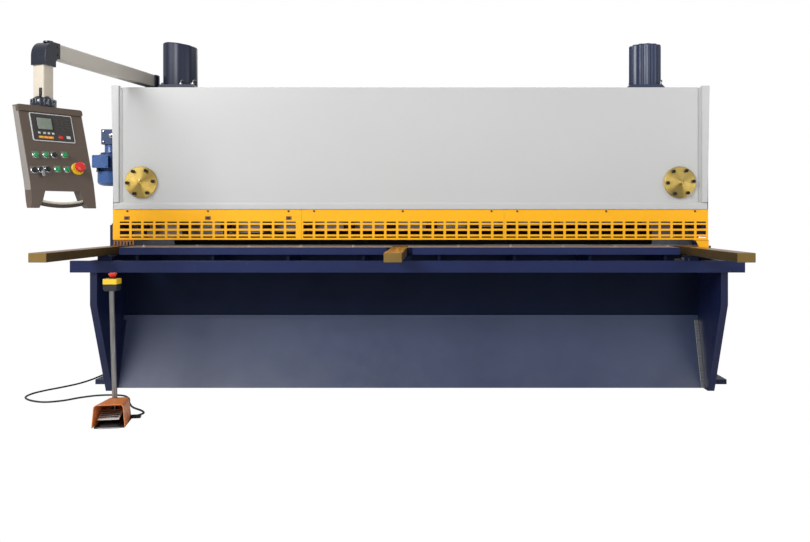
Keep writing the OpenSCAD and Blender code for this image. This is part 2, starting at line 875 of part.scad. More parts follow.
// Foot switch with its hood, and the stop button's stand
switch_x = -1665;
switch_y = -1600;
base_t = 14;
hood_t = 5;
hinge_y = switch_y - 40;
hinge_z = 46;
hinge_r = 5;
pedal_half = 50;
post_x = switch_x - 70;
post_yy = switch_y + 45;
stand_r = 15;

module foot_switch_base() {
    color("black") union() {
        translate([switch_x - hood_w / 2, switch_y - hood_d, 0]) cube([hood_w, hood_d + 90, base_t]);
        for (x = [-pedal_half - 12, pedal_half + 4])
            translate([switch_x + x, hinge_y - 12, base_t - 1]) cube([8, 24, hinge_z + 12 - base_t]);
        translate([switch_x - pedal_half - 5, hinge_y, hinge_z]) rotate([0, 90, 0])
            cylinder(h = 2 * pedal_half + 10, r = hinge_r);
        post_bar(post_x, post_yy, base_t - 1, base_t + 18, 24);
        translate([switch_x + 45, switch_y + 60, base_t - 1]) cube([40, 30, 12]);
    }
}

module foot_switch_hood() {
    color("darkorange") difference() {
        union() {
            difference() {
                along_y(switch_y - hood_d, hood_d) translate([switch_x - hood_w / 2, base_t - 34])
                    soft_square(hood_w, hood_h - base_t + 34, 34);
                along_y(switch_y - hood_d - 1, hood_d + 1 - hood_t)
                    translate([switch_x - hood_w / 2 + hood_t, base_t - 40])
                        soft_square(hood_w - 2 * hood_t, hood_h - base_t - hood_t + 40, 30);
            }
        }
        translate([switch_x - hood_w, switch_y - hood_d - 50, -60]) cube([2 * hood_w, hood_d + 100, 60 + base_t]);
        along_x(switch_x - hood_w, 2 * hood_w)
            polygon([[switch_y - hood_d - 1, hood_h + 1], [switch_y - hood_d - 1, base_t + 60],
                [switch_y - hood_d + 70, hood_h + 1]]);
    }
}

module foot_pedal() {
    tilt = 8;
    tread_w = 150;
    color("gray") translate([switch_x, hinge_y, hinge_z]) difference() {
        union() {
            rotate([-tilt, 0, 0]) translate([-tread_w / 2, -155, 3]) cube([tread_w, 135, 8]);
            rotate([-tilt, 0, 0]) translate([-pedal_half, -25, 3]) cube([2 * pedal_half, 25, 7]);
            translate([-pedal_half, 0, 0]) rotate([0, 90, 0]) cylinder(h = 2 * pedal_half, r = 10);
        }
        translate([-pedal_half - 1, 0, 0]) rotate([0, 90, 0])
            cylinder(h = 2 * pedal_half + 2, r = hinge_r + round_fit);
    }
}

module stop_stand() {
    color("gray") difference() {
        union() {
            post_bar(post_x, post_yy, base_t + 18, stand_h, stand_r);
            translate([post_x - 40, post_yy - 30, stand_h - 2]) cube([80, 60, 40]);
            translate([post_x - 58, post_yy - 36, stand_h + 37]) cube([116, 72, 33]);
            post_bar(post_x, post_yy, stand_h + 69, stand_h + 76, 22);
        }
        post_bar(post_x, post_yy, stand_h + 60, stand_h + 80, 10 + round_fit);
    }
}

module stand_stop_button() {
    z0 = stand_h + 70;
    color("red") union() {
        post_bar(post_x, post_yy, z0 + 2, z0 + 18, 10);
        translate([post_x, post_yy, z0 + 16]) cylinder(h = 12, r1 = 24, r2 = 26);
        translate([post_x, post_yy, z0 + 28]) cylinder(h = 8, r1 = 26, r2 = 16);
    }
}

// Cord from the cabinet's gland to the foot switch, lying on the floor
cord_r = 6;
cord_sides = 8;
cord_steps = 3;
cord_route = [[-2320, 40, 306], [-2320, 40, 210], [-2321, 34, 110], [-2325, -2, 30], [-2332, -80, 6],
    [-2340, -200, 6], [-2341, -330, 6], [-2350, -460, 6], [-2384, -600, 6], [-2444, -715, 6],
    [-2508, -815, 6], [-2550, -920, 6], [-2540, -1030, 6], [-2460, -1120, 6], [-2350, -1165, 6],
    [-2250, -1125, 6], [-2178, -1040, 6], [-2095, -978, 6], [-1995, -960, 6], [-1905, -985, 6],
    [-1840, -1070, 6], [-1790, -1190, 6], [-1725, -1305, 6], [-1645, -1385, 6], [-1604, -1450, 8],
    [-1600, -1510, 12]];

function curve_at(a, b, c, d, t) = 0.5 * (2 * b + (c - a) * t + (2 * a - 5 * b + 4 * c - d) * t * t
    + (3 * b - a - 3 * c + d) * t * t * t);
function cord_point(i, t) = curve_at(cord_route[max(i - 1, 0)], cord_route[i], cord_route[i + 1],
    cord_route[min(i + 2, len(cord_route) - 1)], t);
cord_line = [for (i = [0:len(cord_route) - 2], k = [0:cord_steps - 1]) cord_point(i, k / cord_steps),
    cord_route[len(cord_route) - 1]];
cord_last = len(cord_line) - 1;

function unit(v) = v / norm(v);
function cord_dir(i) = unit(cord_line[min(i + 1, cord_last)] - cord_line[max(i - 1, 0)]);
function cord_side(i) = unit(cross(cord_dir(i), [0, -cord_line[i][2] / 300, 1 - cord_line[i][2] / 320]));
function cord_ring(i) = [for (k = [0:cord_sides - 1]) let (a = (k + 0.5) * 360 / cord_sides)
    cord_line[i] + cord_r * (cos(a) * cord_side(i) + sin(a) * cross(cord_side(i), cord_dir(i)))];

module foot_cord() {
    rings = [for (i = [0:cord_last]) each cord_ring(i)];
    n = cord_sides;
    walls = [for (i = [0:cord_last - 1], k = [0:n - 1])
        [i * n + k, i * n + (k + 1) % n, (i + 1) * n + (k + 1) % n, (i + 1) * n + k]];
    ends = [[for (k = [n - 1:-1:0]) k], [for (k = [0:n - 1]) cord_last * n + k]];
    color("black") polyhedron(rings, concat(walls, ends));
}

side_frame(-1);  // left_side_frame
side_frame(1);  // right_side_frame
foot_plates();
front_post(-1);  // left_front_post
front_post(1);  // right_front_post
front_panel();
guide_cover(-1);  // left_guide_cover
guide_cover(1);  // right_guide_cover
guard_left();
guard_centre();
guard_right();
guard_ends();
hold_down_beam();
hold_down_feet();
bed();
table_front_bar();
lower_blade();
table_rail();
lower_apron();
support_arm(0);  // left_support_arm
support_arm(1);  // middle_support_arm
support_arm(2);  // right_support_arm
cylinder_seats();
main_cylinder(-1, 0);  // left_cylinder
main_cylinder(1, 16);  // right_cylinder
piston_rods();
ram();
ram_ribs();
upper_blade();
guide_rails();
gauge_rails();
gauge_screws();
gauge_bar();
rear_beam();
oil_tank();
pump_motor();
pressure_pipes();
rear_tie();
chute();
gap_gearbox();
gap_motor();
electric_cabinet();
cabinet_gland();
boom_base();
boom();
boom_elbow();
drop_tube();
pendant_housing();
pendant_display();
pendant_handle();
pendant_controls();
pendant_stop_button();
foot_switch_base();
foot_switch_hood();
foot_pedal();
stop_stand();
stand_stop_button();
foot_cord();
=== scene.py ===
import json
import math

import bmesh
import bpy
import numpy as np
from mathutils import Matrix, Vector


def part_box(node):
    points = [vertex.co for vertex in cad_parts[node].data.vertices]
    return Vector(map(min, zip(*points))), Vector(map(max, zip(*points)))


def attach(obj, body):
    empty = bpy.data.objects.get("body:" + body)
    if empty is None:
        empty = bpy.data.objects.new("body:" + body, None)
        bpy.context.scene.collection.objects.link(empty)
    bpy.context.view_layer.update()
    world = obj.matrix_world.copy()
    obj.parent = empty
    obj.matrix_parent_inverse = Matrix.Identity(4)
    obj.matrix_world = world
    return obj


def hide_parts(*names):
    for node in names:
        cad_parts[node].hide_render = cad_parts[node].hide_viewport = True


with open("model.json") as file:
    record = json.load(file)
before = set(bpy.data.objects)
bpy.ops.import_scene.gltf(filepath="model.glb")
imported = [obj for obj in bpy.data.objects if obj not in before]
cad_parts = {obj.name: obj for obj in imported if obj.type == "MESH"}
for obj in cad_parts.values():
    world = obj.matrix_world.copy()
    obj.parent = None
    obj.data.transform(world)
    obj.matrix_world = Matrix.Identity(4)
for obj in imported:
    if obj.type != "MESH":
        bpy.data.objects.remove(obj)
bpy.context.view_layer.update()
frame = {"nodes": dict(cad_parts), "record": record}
print("frame loaded")

nodes = frame["nodes"]
nodeBody = {n: body for body, names in frame["record"]["behaviour"]["bodies"].items() for n in names}

# camera: where the photograph was taken from, found from the support arms and the floor lines
cameraPlace = {"x": 0.158, "y": -6.30, "z": 1.20, "focal": 796.0, "axisX": 433.0, "axisY": 217.0}
photoSize = (810.0, 542.0)


def makeCamera():
    data = bpy.data.cameras.new("camera")
    data.sensor_width = 36.0
    data.lens = cameraPlace["focal"] / photoSize[0] * data.sensor_width
    data.shift_x = (photoSize[0] / 2 - cameraPlace["axisX"]) / photoSize[0]
    data.shift_y = (cameraPlace["axisY"] - photoSize[1] / 2) / photoSize[0]
    data.clip_end = 60.0
    camera = bpy.data.objects.new("camera", data)
    bpy.context.scene.collection.objects.link(camera)
    camera.location = (cameraPlace["x"], cameraPlace["y"], cameraPlace["z"])
    camera.rotation_euler = (math.radians(90), 0, 0)
    bpy.context.scene.camera = camera


makeCamera()
print("camera placed")


# a shader socket that can stand in a sum
class Wire:
    def __init__(self, finish, socket):
        self.finish = finish
        self.socket = socket

    def math(self, operation, other=None, swap=False):
        pair = (other, self) if swap else (self, other)
        values = {i: v for i, v in enumerate(pair) if v is not None}
        return self.finish.add("ShaderNodeMath", {"operation": operation}, values)

    def __add__(self, other):
        return self.math("ADD", other)

    def __radd__(self, other):
        return self.math("ADD", other)

    def __sub__(self, other):
        return self.math("SUBTRACT", other)

    def __rsub__(self, other):
        return self.math("SUBTRACT", other, True)

    def __mul__(self, other):
        return self.math("MULTIPLY", other)

    def __rmul__(self, other):
        return self.math("MULTIPLY", other)

    def __truediv__(self, other):
        return self.math("DIVIDE", other)

    def __pow__(self, other):
        return self.math("POWER", other)

    def clamp(self):
        return self.math("MAXIMUM", 0.0).math("MINIMUM", 1.0)


# one material: add() makes a node from its type, its settings and the values or links of its sockets
class Finish:
    def __init__(self, name):
        self.material = bpy.data.materials.new(name)
        self.material.use_nodes = True
        self.tree = self.material.node_tree
        self.tree.nodes.clear()
        self.shader = self.tree.nodes.new("ShaderNodeBsdfPrincipled")
        out = self.tree.nodes.new("ShaderNodeOutputMaterial")
        self.tree.links.new(self.shader.outputs[0], out.inputs[0])

    def plug(self, node, key, value):
        socket = node.inputs[key]
        if isinstance(value, Wire):
            self.tree.links.new(value.socket, socket)
        else:
            socket.default_value = value

    def add(self, kind, settings=None, values=None, out=0):
        node = self.tree.nodes.new(kind)
        for key, value in (settings or {}).items():
            if key == "stops":
                ramp = node.color_ramp
                while len(ramp.elements) < len(value):
                    ramp.elements.new(0.5)
                for element, (place, colour) in zip(ramp.elements, value):
                    element.position = place
                    element.color = colour
            else:
                setattr(node, key, value)
        for key, value in (values or {}).items():
            self.plug(node, key, value)
        return Wire(self, node.outputs[out])

    def place(self):
        return self.add("ShaderNodeTexCoord", out="Object")

    def mapped(self, scale=(1, 1, 1), offset=(0, 0, 0)):
        return self.add("ShaderNodeMapping", None, {"Vector": self.place(), "Scale": scale, "Location": offset})

    def noise(self, scale, detail=3.0, rough=0.55, vector=None):
        return self.add(
            "ShaderNodeTexNoise",
            None,
            {"Vector": vector or self.place(), "Scale": scale, "Detail": detail, "Roughness": rough},
            "Fac",
        )

    def fade(self, value, low, high, newLow=0.0, newHigh=1.0):
        return self.add(
            "ShaderNodeMapRange",
            {"clamp": True},
            {"Value": value, "From Min": low, "From Max": high, "To Min": newLow, "To Max": newHigh},
        )

    def blendColours(self, mask, first, second, how="MIX"):
        node = self.tree.nodes.new("ShaderNodeMix")
        node.data_type = "RGBA"
        node.blend_type = how
        for key, value in ((0, mask), (6, first), (7, second)):
            self.plug(node, key, value)
        return Wire(self, node.outputs[2])

    def axes(self, vector=None):
        node = self.tree.nodes.new("ShaderNodeSeparateXYZ")
        self.plug(node, 0, vector or self.place())
        return [Wire(self, node.outputs[i]) for i in range(3)]

    def bump(self, height, strength, distance):
        return self.add("ShaderNodeBump", None, {"Height": height, "Strength": strength, "Distance": distance})

    def set(self, **values):
        names = {
            "colour": "Base Color",
            "rough": "Roughness",
            "metal": "Metallic",
            "coat": "Coat Weight",
            "coatRough": "Coat Roughness",
            "normal": "Normal",
            "specular": "Specular IOR Level",
            "glow": "Emission Color",
            "glowStrength": "Emission Strength",
        }
        for key, value in values.items():
            self.plug(self.shader, names[key], value)
        return self


def rgba(colour, gain=1.0):
    return (colour[0] * gain, colour[1] * gain, colour[2] * gain, 1.0)


# painted steel: slow mottling, a little orange peel, dust towards the floor and rubbed spots
def paint(name, colour, rough=0.35, coat=0.3, mottle=0.08, peel=0.06, grime=0.15, wear=0.0, vary=0.06, mirror=0.5):
    finish = Finish(name)
    slow = finish.noise(1.7, 4.0)
    fine = finish.noise(240.0, 2.0)
    height = finish.axes()[2]
    shade = finish.blendColours(finish.fade(slow, 0.3, 0.7), rgba(colour, 1 - mottle), rgba(colour, 1 + mottle))
    dust = finish.fade(height, 0.0, 0.35, 1.0, 0.0) * finish.fade(finish.noise(6.0, 5.0), 0.35, 0.75)
    shade = finish.blendColours((dust * grime).clamp(), shade, (0.36, 0.33, 0.29, 1))
    roughness = finish.fade(finish.noise(9.0, 4.0), 0.3, 0.7, rough - vary, rough + vary)
    if wear:
        spots = finish.fade(finish.noise(14.0, 8.0, 0.7), 0.66, 0.74)
        shade = finish.blendColours((spots * wear).clamp(), shade, (0.42, 0.42, 0.43, 1))
        roughness = roughness + spots * 0.15
    bump = finish.bump(fine, peel, 0.0006)
    finish.set(colour=shade, rough=roughness, coat=coat, coatRough=0.12, specular=mirror, normal=bump)
    return finish.material


# bare steel, ground or rolled along one axis
def steel(name, colour, rough=0.28, along="x", metal=1.0, stain=0.25):
    finish = Finish(name)
    stretch = {"x": (3, 260, 260), "y": (260, 3, 260), "z": (260, 260, 3)}[along]
    lines = finish.noise(1.0, 3.0, 0.6, finish.mapped(stretch))
    slow = finish.noise(3.1, 5.0)
    shade = finish.blendColours(finish.fade(slow, 0.35, 0.75) * stain, rgba(colour), rgba(colour, 0.55))
    shade = finish.blendColours(finish.fade(lines, 0.3, 0.7), shade, rgba(colour, 0.85), "MULTIPLY")
    roughness = finish.fade(lines, 0.25, 0.75, rough - 0.07, rough + 0.10) + finish.fade(slow, 0.4, 0.8) * 0.12
    bump = finish.bump(lines, 0.12, 0.0004)
    return finish.set(colour=shade, rough=roughness, metal=metal, normal=bump).material


# moulded plastic or rubber
def plastic(name, colour, rough=0.4, grain=0.15, coat=0.0):
    finish = Finish(name)
    slow = finish.noise(18.0, 3.0)
    fine = finish.noise(900.0, 2.0)
    shade = finish.blendColours(finish.fade(slow, 0.3, 0.7), rgba(colour, 0.9), rgba(colour, 1.1))
    roughness = finish.fade(slow, 0.3, 0.7, rough - 0.04, rough + 0.06)
    bump = finish.bump(fine, grain, 0.0002)
    return finish.set(colour=shade, rough=roughness, coat=coat, normal=bump).material


# turned disc: fine rings round the disc's own axis, a soft patina, and bright and dark sectors round the centre painted
# as the turned face's sheen
def turned(name, centre, colour):
    finish = Finish(name)
    x, y, z = finish.axes(finish.mapped((1, 1, 1), (-centre[0], 0, -centre[1])))
    radius = (x * x + z * z) ** 0.5
    rings = finish.add(
        "ShaderNodeTexNoise",
        {"noise_dimensions": "1D"},
        {"W": radius, "Scale": 900.0, "Detail": 2.0},
        "Fac",
    )
    patina = finish.noise(22.0, 5.0)
    shade = finish.blendColours(finish.fade(patina, 0.35, 0.7), rgba(colour, 1.05), rgba(colour, 0.72))
    turn = z.math("ARCTAN2", x)
    # painted highlight and shade: sectors by angle round the centre stand for the sheen of the turned face
    sheenSectors = (turn * 2 + 0.7).math("COSINE") + (turn * 3 + 2.2).math("COSINE") * 0.6
    shade = finish.blendColours(finish.fade(rings, 0.3, 0.7) * 0.5, shade, rgba(colour, 0.8))
    shade = finish.blendColours(finish.fade(sheenSectors, -0.8, 0.8), rgba(colour, 0.34), shade)
    roughness = finish.fade(rings, 0.3, 0.7, 0.24, 0.4)
    bump = finish.bump(rings, 0.25, 0.0004)
    return finish.set(colour=shade, rough=roughness, metal=0.6, normal=bump).material


discCentre = {
    side: tuple((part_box(side + "_guide_cover")[0][i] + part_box(side + "_guide_cover")[1][i]) / 2 for i in (0, 2))
    for side in ("left", "right")
}

finishes = {
    "navy": paint("navyPaint", (0.0075, 0.0125, 0.052), 0.42, 0.04, 0.18, grime=0.06, wear=0.04, mirror=0.3),
    # navy darkened nearly to black: painted shade for the faces under the table and the rail's pads
    "under": paint("underShadePaint", (0.003, 0.0075, 0.028), 0.55, 0.0, 0.2, grime=0.0, mirror=0.12),
    # a lighter navy than the frame's: painted reflection of the pale floor on the sloping apron
    "apron": paint("apronSheenPaint", (0.042, 0.056, 0.115), 0.36, 0.08, 0.10, grime=0.05, mirror=0.45),
    "deep": paint("deepNavyPaint", (0.0070, 0.0145, 0.072), 0.38, 0.05, 0.12, grime=0.0, wear=0.04, mirror=0.3),
    "barrel": paint("barrelPaint", (0.011, 0.016, 0.040), 0.40, 0.04, 0.06, grime=0.0, vary=0.02, mirror=0.40),
    # a lighter, bluer, glossier copy of the barrel paint: painted light on the right cylinder
    "barrelLit": paint("barrelLitPaint", (0.020, 0.033, 0.085), 0.34, 0.08, 0.06, grime=0.0, vary=0.02, mirror=0.55),
    "plate": paint("controlPlate", (0.155, 0.145, 0.135), 0.38, 0.1, 0.05, grime=0.0),
    "panel": paint("panelPaint", (0.545, 0.55, 0.545), 0.26, 0.25, 0.008, 0.0, grime=0.0, vary=0.005, mirror=0.4),
    "guard": paint("guardPaint", (1.0, 0.47, 0.008), 0.45, 0.06, 0.02, 0.02, grime=0.0, vary=0.02, mirror=0.3),
    "comb": paint("combPaint", (0.30, 0.12, 0.02), 0.45, 0.1, 0.1, grime=0.0),
    "arm": paint("armPaint", (0.185, 0.112, 0.022), 0.42, 0.05, 0.22, grime=0.0, wear=0.15, mirror=0.35),
    # a lighter, glossier copy of the arm paint: painted highlight on the arms' top faces
    "armTopLit": paint("armTopHighlightPaint", (0.26, 0.105, 0.030), 0.22, 0.15, 0.22, grime=0.0, wear=0.1, mirror=0.55),
    # a darker copy of the arm paint: painted shade on the arms' sides and undersides
    "armSideShaded": paint("armSideShadePaint", (0.060, 0.040, 0.015), 0.45, 0.02, 0.22, grime=0.0, wear=0.1, mirror=0.2),
    "blue": paint("bluePaint", (0.042, 0.108, 0.305), 0.30, 0.2, 0.10, grime=0.05, wear=0.05),
    "gear": paint("gearPaint", (0.018, 0.042, 0.135), 0.34, 0.15, 0.10, grime=0.0),
    # near-black paint, darker than the frame's navy: painted shade on the ram, the hold-down beam and the back gauge
    # behind the guard
    "ram": paint("ramShadePaint", (0.012, 0.012, 0.014), 0.55, 0.0, 0.2, mirror=0.2),
    "boom": paint("boomPaint", (0.56, 0.52, 0.46), 0.36, 0.2, 0.04, grime=0.0),
    "cream": paint("creamPaint", (0.62, 0.56, 0.46), 0.34, 0.2, 0.03, grime=0.0),
    "pendant": paint("pendantPaint", (0.098, 0.070, 0.052), 0.42, 0.1, 0.08, grime=0.0),
    "pendantSide": paint("pendantSidePaint", (0.27, 0.245, 0.225), 0.42, 0.1, 0.08, grime=0.0),
    "bronze": paint("bronzePaint", (0.040, 0.029, 0.022), 0.34, 0.2, 0.1, grime=0.0),
    "hood": paint("hoodPaint", (0.68, 0.21, 0.055), 0.42, 0.08, 0.08, grime=0.0, wear=0.12, mirror=0.35),
    "yellow": paint("yellowPaint", (0.80, 0.52, 0.02), 0.34, 0.2, 0.03, grime=0.0),
    "orange": paint("orangeFilm", (0.75, 0.22, 0.03), 0.3, 0.2, 0.02, grime=0.0),
    "label": paint("labelFilm", (0.55, 0.56, 0.56), 0.35, 0.1, 0.02, grime=0.0),
    "elbow": plastic("elbowGloss", (0.008, 0.012, 0.026), 0.12, 0.05, 0.8),
    "black": plastic("blackPlastic", (0.014, 0.014, 0.016), 0.40, 0.2),
    "screen": plastic("screenBlack", (0.035, 0.031, 0.029), 0.22, 0.02, 0.4),
    "glass": plastic("displayGlass", (0.20, 0.235, 0.19), 0.15, 0.02, 0.5),
    "green": plastic("greenCap", (0.010, 0.24, 0.07), 0.20, 0.05, 0.5),
    "red": plastic("stopRed", (0.66, 0.020, 0.016), 0.24, 0.05, 0.4),
    "steel": steel("groundSteel", (0.62, 0.63, 0.65), 0.26),
    "table": steel("tableSteel", (0.50, 0.50, 0.53), 0.30, metal=0.4, stain=0.5),
    "rod": steel("rodSteel", (0.70, 0.71, 0.73), 0.12, "z", 1.0, 0.05),
    "rail": steel("railSteel", (0.60, 0.61, 0.63), 0.2, "y"),
    # steel darkened nearly to black: painted shade on the hold-down feet behind the guard
    "footSteel": steel("footSteel", (0.075, 0.075, 0.08), 0.42),
    "zinc": steel("zincSheet", (0.55, 0.56, 0.57), 0.34),
    "post": steel("postSteel", (0.42, 0.41, 0.40), 0.32, "z", 1.0, 0.2),
    # the left disc's gold is brighter than the right one's: painted light on two like discs
    "leftDisc": turned("leftDiscBrass", discCentre["left"], (1.0, 0.69, 0.17)),
    "rightDisc": turned("rightDiscBrass", discCentre["right"], (0.84, 0.60, 0.16)),
    "cord": plastic("cordSheath", (0.012, 0.012, 0.013), 0.5, 0.3),
}
print("materials made")

# which finish each CAD node has, and how far its edges are eased, in metres
nodeLook = {
    "left_side_frame": ("navy", 0.003),
    "right_side_frame": ("navy", 0.003),
    "foot_plates": ("navy", 0.003),
    "left_guide_cover": ("leftDisc", 0.0015),
    "right_guide_cover": ("rightDisc", 0.0015),
    "guard_left": ("guard", 0.0008),
    "guard_centre": ("guard", 0.0008),
    "guard_right": ("guard", 0.0008),
    "hold_down_beam": ("ram", 0.002),
    "hold_down_feet": ("footSteel", 0.002),
    "bed": ("table", 0.0015, "under", 0.9515),
    "lower_blade": ("steel", 0.0006),
    "upper_blade": ("steel", 0.0006),
    # the apron takes the lighter navy, a painted reflection
    "lower_apron": ("apron", 0.002),
    "cylinder_seats": ("navy", 0.003),
    "piston_rods": ("rod", 0.001),
    "ram": ("ram", 0.003),
    "ram_ribs": ("ram", 0.002),
    "guide_rails": ("steel", 0.002),
    "gauge_rails": ("rail", 0.001),
    "gauge_screws": ("rail", 0.001),
    "gauge_bar": ("ram", 0.002),
    "rear_beam": ("navy", 0.004),
    "oil_tank": ("navy", 0.004),
    "pump_motor": ("blue", 0.002),
    "pressure_pipes": ("zinc", 0.0008),
    "rear_tie": ("navy", 0.004),
    "chute": ("zinc", 0.0012),
    "electric_cabinet": ("navy", 0.004),
    "cabinet_gland": ("black", 0.001),
    "boom_base": ("navy", 0.002),
}


# a copy of a CAD node with its corners merged and its edges eased, which then stands for the node
def easeEdges(node, finish, width, shadeFinish=None, level=0.0):
    mesh = nodes[node].data.copy()
    made = bmesh.new()
    made.from_mesh(mesh)
    bmesh.ops.remove_doubles(made, verts=made.verts, dist=2e-5)
    bmesh.ops.dissolve_limit(made, angle_limit=math.radians(0.4), verts=made.verts, edges=made.edges)
    made.to_mesh(mesh)
    made.free()
    mesh.materials.clear()
    mesh.materials.append(finishes[finish])
    # faces below the level and faces turned to the front take the second finish, the darkened navy that paints the
    # shade under the table
    if shadeFinish:
        mesh.materials.append(finishes[shadeFinish])
        for face in mesh.polygons:
            face.material_index = int(face.center[2] < level or face.normal[1] < -0.9)
    for name in ("custom_normal",):
        if name in mesh.attributes:
            mesh.attributes.remove(mesh.attributes[name])
    mesh.shade_smooth()
    mesh.set_sharp_from_angle(angle=math.radians(28))
    piece = bpy.data.objects.new(node + "_eased", mesh)
    bpy.context.scene.collection.objects.link(piece)
    bevel = piece.modifiers.new("eased", "BEVEL")
    bevel.width = width
    bevel.segments = 2
    bevel.limit_method = "ANGLE"
    bevel.angle_limit = math.radians(40)
    bevel.harden_normals = True
    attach(piece, nodeBody[node])
    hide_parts(node)
    return piece


for node, look in nodeLook.items():
    easeEdges(node, *look)
print("nodes dressed")


# adds a mesh from points and faces and lets it ride on a body
def addPiece(name, points, faces, finish, body, smooth=True, replaces=None):
    mesh = bpy.data.meshes.new(name)
    mesh.from_pydata(np.asarray(points, float).reshape(-1, 3).tolist(), [], [list(map(int, f)) for f in faces])
    mesh.materials.append(finishes[finish])
    if smooth:
        mesh.shade_smooth()
        mesh.set_sharp_from_angle(angle=math.radians(35))
    piece = bpy.data.objects.new(name, mesh)
    bpy.context.scene.collection.objects.link(piece)
    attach(piece, body)
    if replaces:
        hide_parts(replaces)
    return piece


# the cord's route repeats the one in the part's source, in metres
cord = {
    "radius": 0.006,
    "sides": 12,
    "steps": 6,
    "route": [
        (-2.320, 0.040, 0.306), (-2.320, 0.040, 0.210), (-2.321, 0.034, 0.110), (-2.325, -0.002, 0.030),
        (-2.332, -0.080, 0.006), (-2.340, -0.200, 0.006), (-2.341, -0.330, 0.006), (-2.350, -0.460, 0.006),
        (-2.384, -0.600, 0.006), (-2.444, -0.715, 0.006), (-2.508, -0.815, 0.006), (-2.550, -0.920, 0.006),
        (-2.540, -1.030, 0.006), (-2.460, -1.120, 0.006), (-2.350, -1.165, 0.006), (-2.250, -1.125, 0.006),
        (-2.178, -1.040, 0.006), (-2.095, -0.978, 0.006), (-1.995, -0.960, 0.006), (-1.905, -0.985, 0.006),
        (-1.840, -1.070, 0.006), (-1.790, -1.190, 0.006), (-1.725, -1.305, 0.006), (-1.645, -1.385, 0.006),
        (-1.604, -1.450, 0.008), (-1.600, -1.510, 0.012),
    ],
}


# the smooth line through the route's points: between two points, the cubic that meets both and
# leaves each along the line of its neighbours
def smoothLine(points, steps):
    p = np.asarray(points, float)
    padded = np.vstack([p[:1], p, p[-1:]])
    a, b, c, d = padded[:-3, None], padded[1:-2, None], padded[2:-1, None], padded[3:, None]
    t = (np.arange(steps) / steps)[None, :, None]
    line = 0.5 * (2 * b + (c - a) * t + (2 * a - 5 * b + 4 * c - d) * t**2 + (3 * b - a - 3 * c + d) * t**3)
    return np.vstack([line.reshape(-1, 3), p[-1:]])


# a round tube along a line: each ring is a circle square to the line's direction
def tubeMesh(line, radius, sides):
    ahead = np.gradient(line, axis=0)
    ahead /= np.linalg.norm(ahead, axis=1)[:, None]
    lift = np.clip(line[:, 2:3] / 0.3, 0, 1)
    up = np.hstack([0 * lift, -lift, 1 - lift * 0.94])
    across = np.cross(ahead, up)
    across /= np.linalg.norm(across, axis=1)[:, None]
    above = np.cross(across, ahead)
    turn = np.arange(sides) * 2 * math.pi / sides
    ring = across[:, None] * np.cos(turn)[None, :, None] + above[:, None] * np.sin(turn)[None, :, None]
    points = line[:, None] + ring * (radius if np.isscalar(radius) else np.asarray(radius)[:, None, None])
    return points.reshape(-1, 3), gridFaces(len(line), sides, closed=True, ends=True)


# four-cornered faces of a grid of rows and columns; closed joins the last column to the first
def gridFaces(rows, columns, closed=False, ends=False, flip=False):
    across = columns if closed else columns - 1
    i, j = np.meshgrid(np.arange(rows - 1), np.arange(across), indexing="ij")
    k = (j + 1) % columns
    quads = np.stack([i * columns + j, i * columns + k, (i + 1) * columns + k, (i + 1) * columns + j], -1)
    faces = quads.reshape(-1, 4).tolist()
    if ends:
        faces += [list(range(columns))[::-1], [(rows - 1) * columns + c for c in range(columns)]]
    return [f[::-1] for f in faces] if flip else faces


def makeCord():
    line = smoothLine(cord["route"], cord["steps"])
    points, faces = tubeMesh(line, cord["radius"], cord["sides"])
    piece = addPiece("footCordSheath", points, faces, "cord", "frame", replaces="foot_cord")


makeCord()


# a place: an origin in metres and three axes; the third is square to the first two. Its numbers are
# millimetres
def placeAt(origin, first=(1, 0, 0), second=(0, 1, 0)):
    first, second = np.asarray(first, float), np.asarray(second, float)
    return np.asarray(origin, float), 0.001 * np.stack([first, second, np.cross(first, second)])


def lift(outline, level, place):
    outline = np.asarray(outline, float)
    return place[0] + np.column_stack([outline, np.full(len(outline), float(level))]) @ place[1]


origin = (0, 0, 0)
plan = placeAt(origin)
elevation = placeAt(origin, (1, 0, 0), (0, 0, 1))
section = placeAt(origin, (0, 1, 0), (0, 0, 1))


def rect(a0, b0, a1, b1):
    return [(a0, b0), (a1, b0), (a1, b1), (a0, b1)]


# a rectangle whose corners are quarter circles
def softRect(a0, b0, a1, b1, radius, steps=4):
    corners = (
        (a1 - radius, b0 + radius, -90),
        (a1 - radius, b1 - radius, 0),
        (a0 + radius, b1 - radius, 90),
        (a0 + radius, b0 + radius, 180),
    )
    turns = np.radians(np.linspace(0, 90, steps + 1))
    return [
        (a + radius * math.cos(t + math.radians(s)), b + radius * math.sin(t + math.radians(s)))
        for a, b, s in corners
        for t in turns
    ]


# a round head's profile: straight up, then a quarter circle of the given size
def headProfile(radius, low, high, edge, steps=3):
    turns = np.radians(np.linspace(0, 90, steps + 1))
    return [(radius, low)] + [(radius - edge + edge * math.cos(t), high - edge + edge * math.sin(t)) for t in turns]


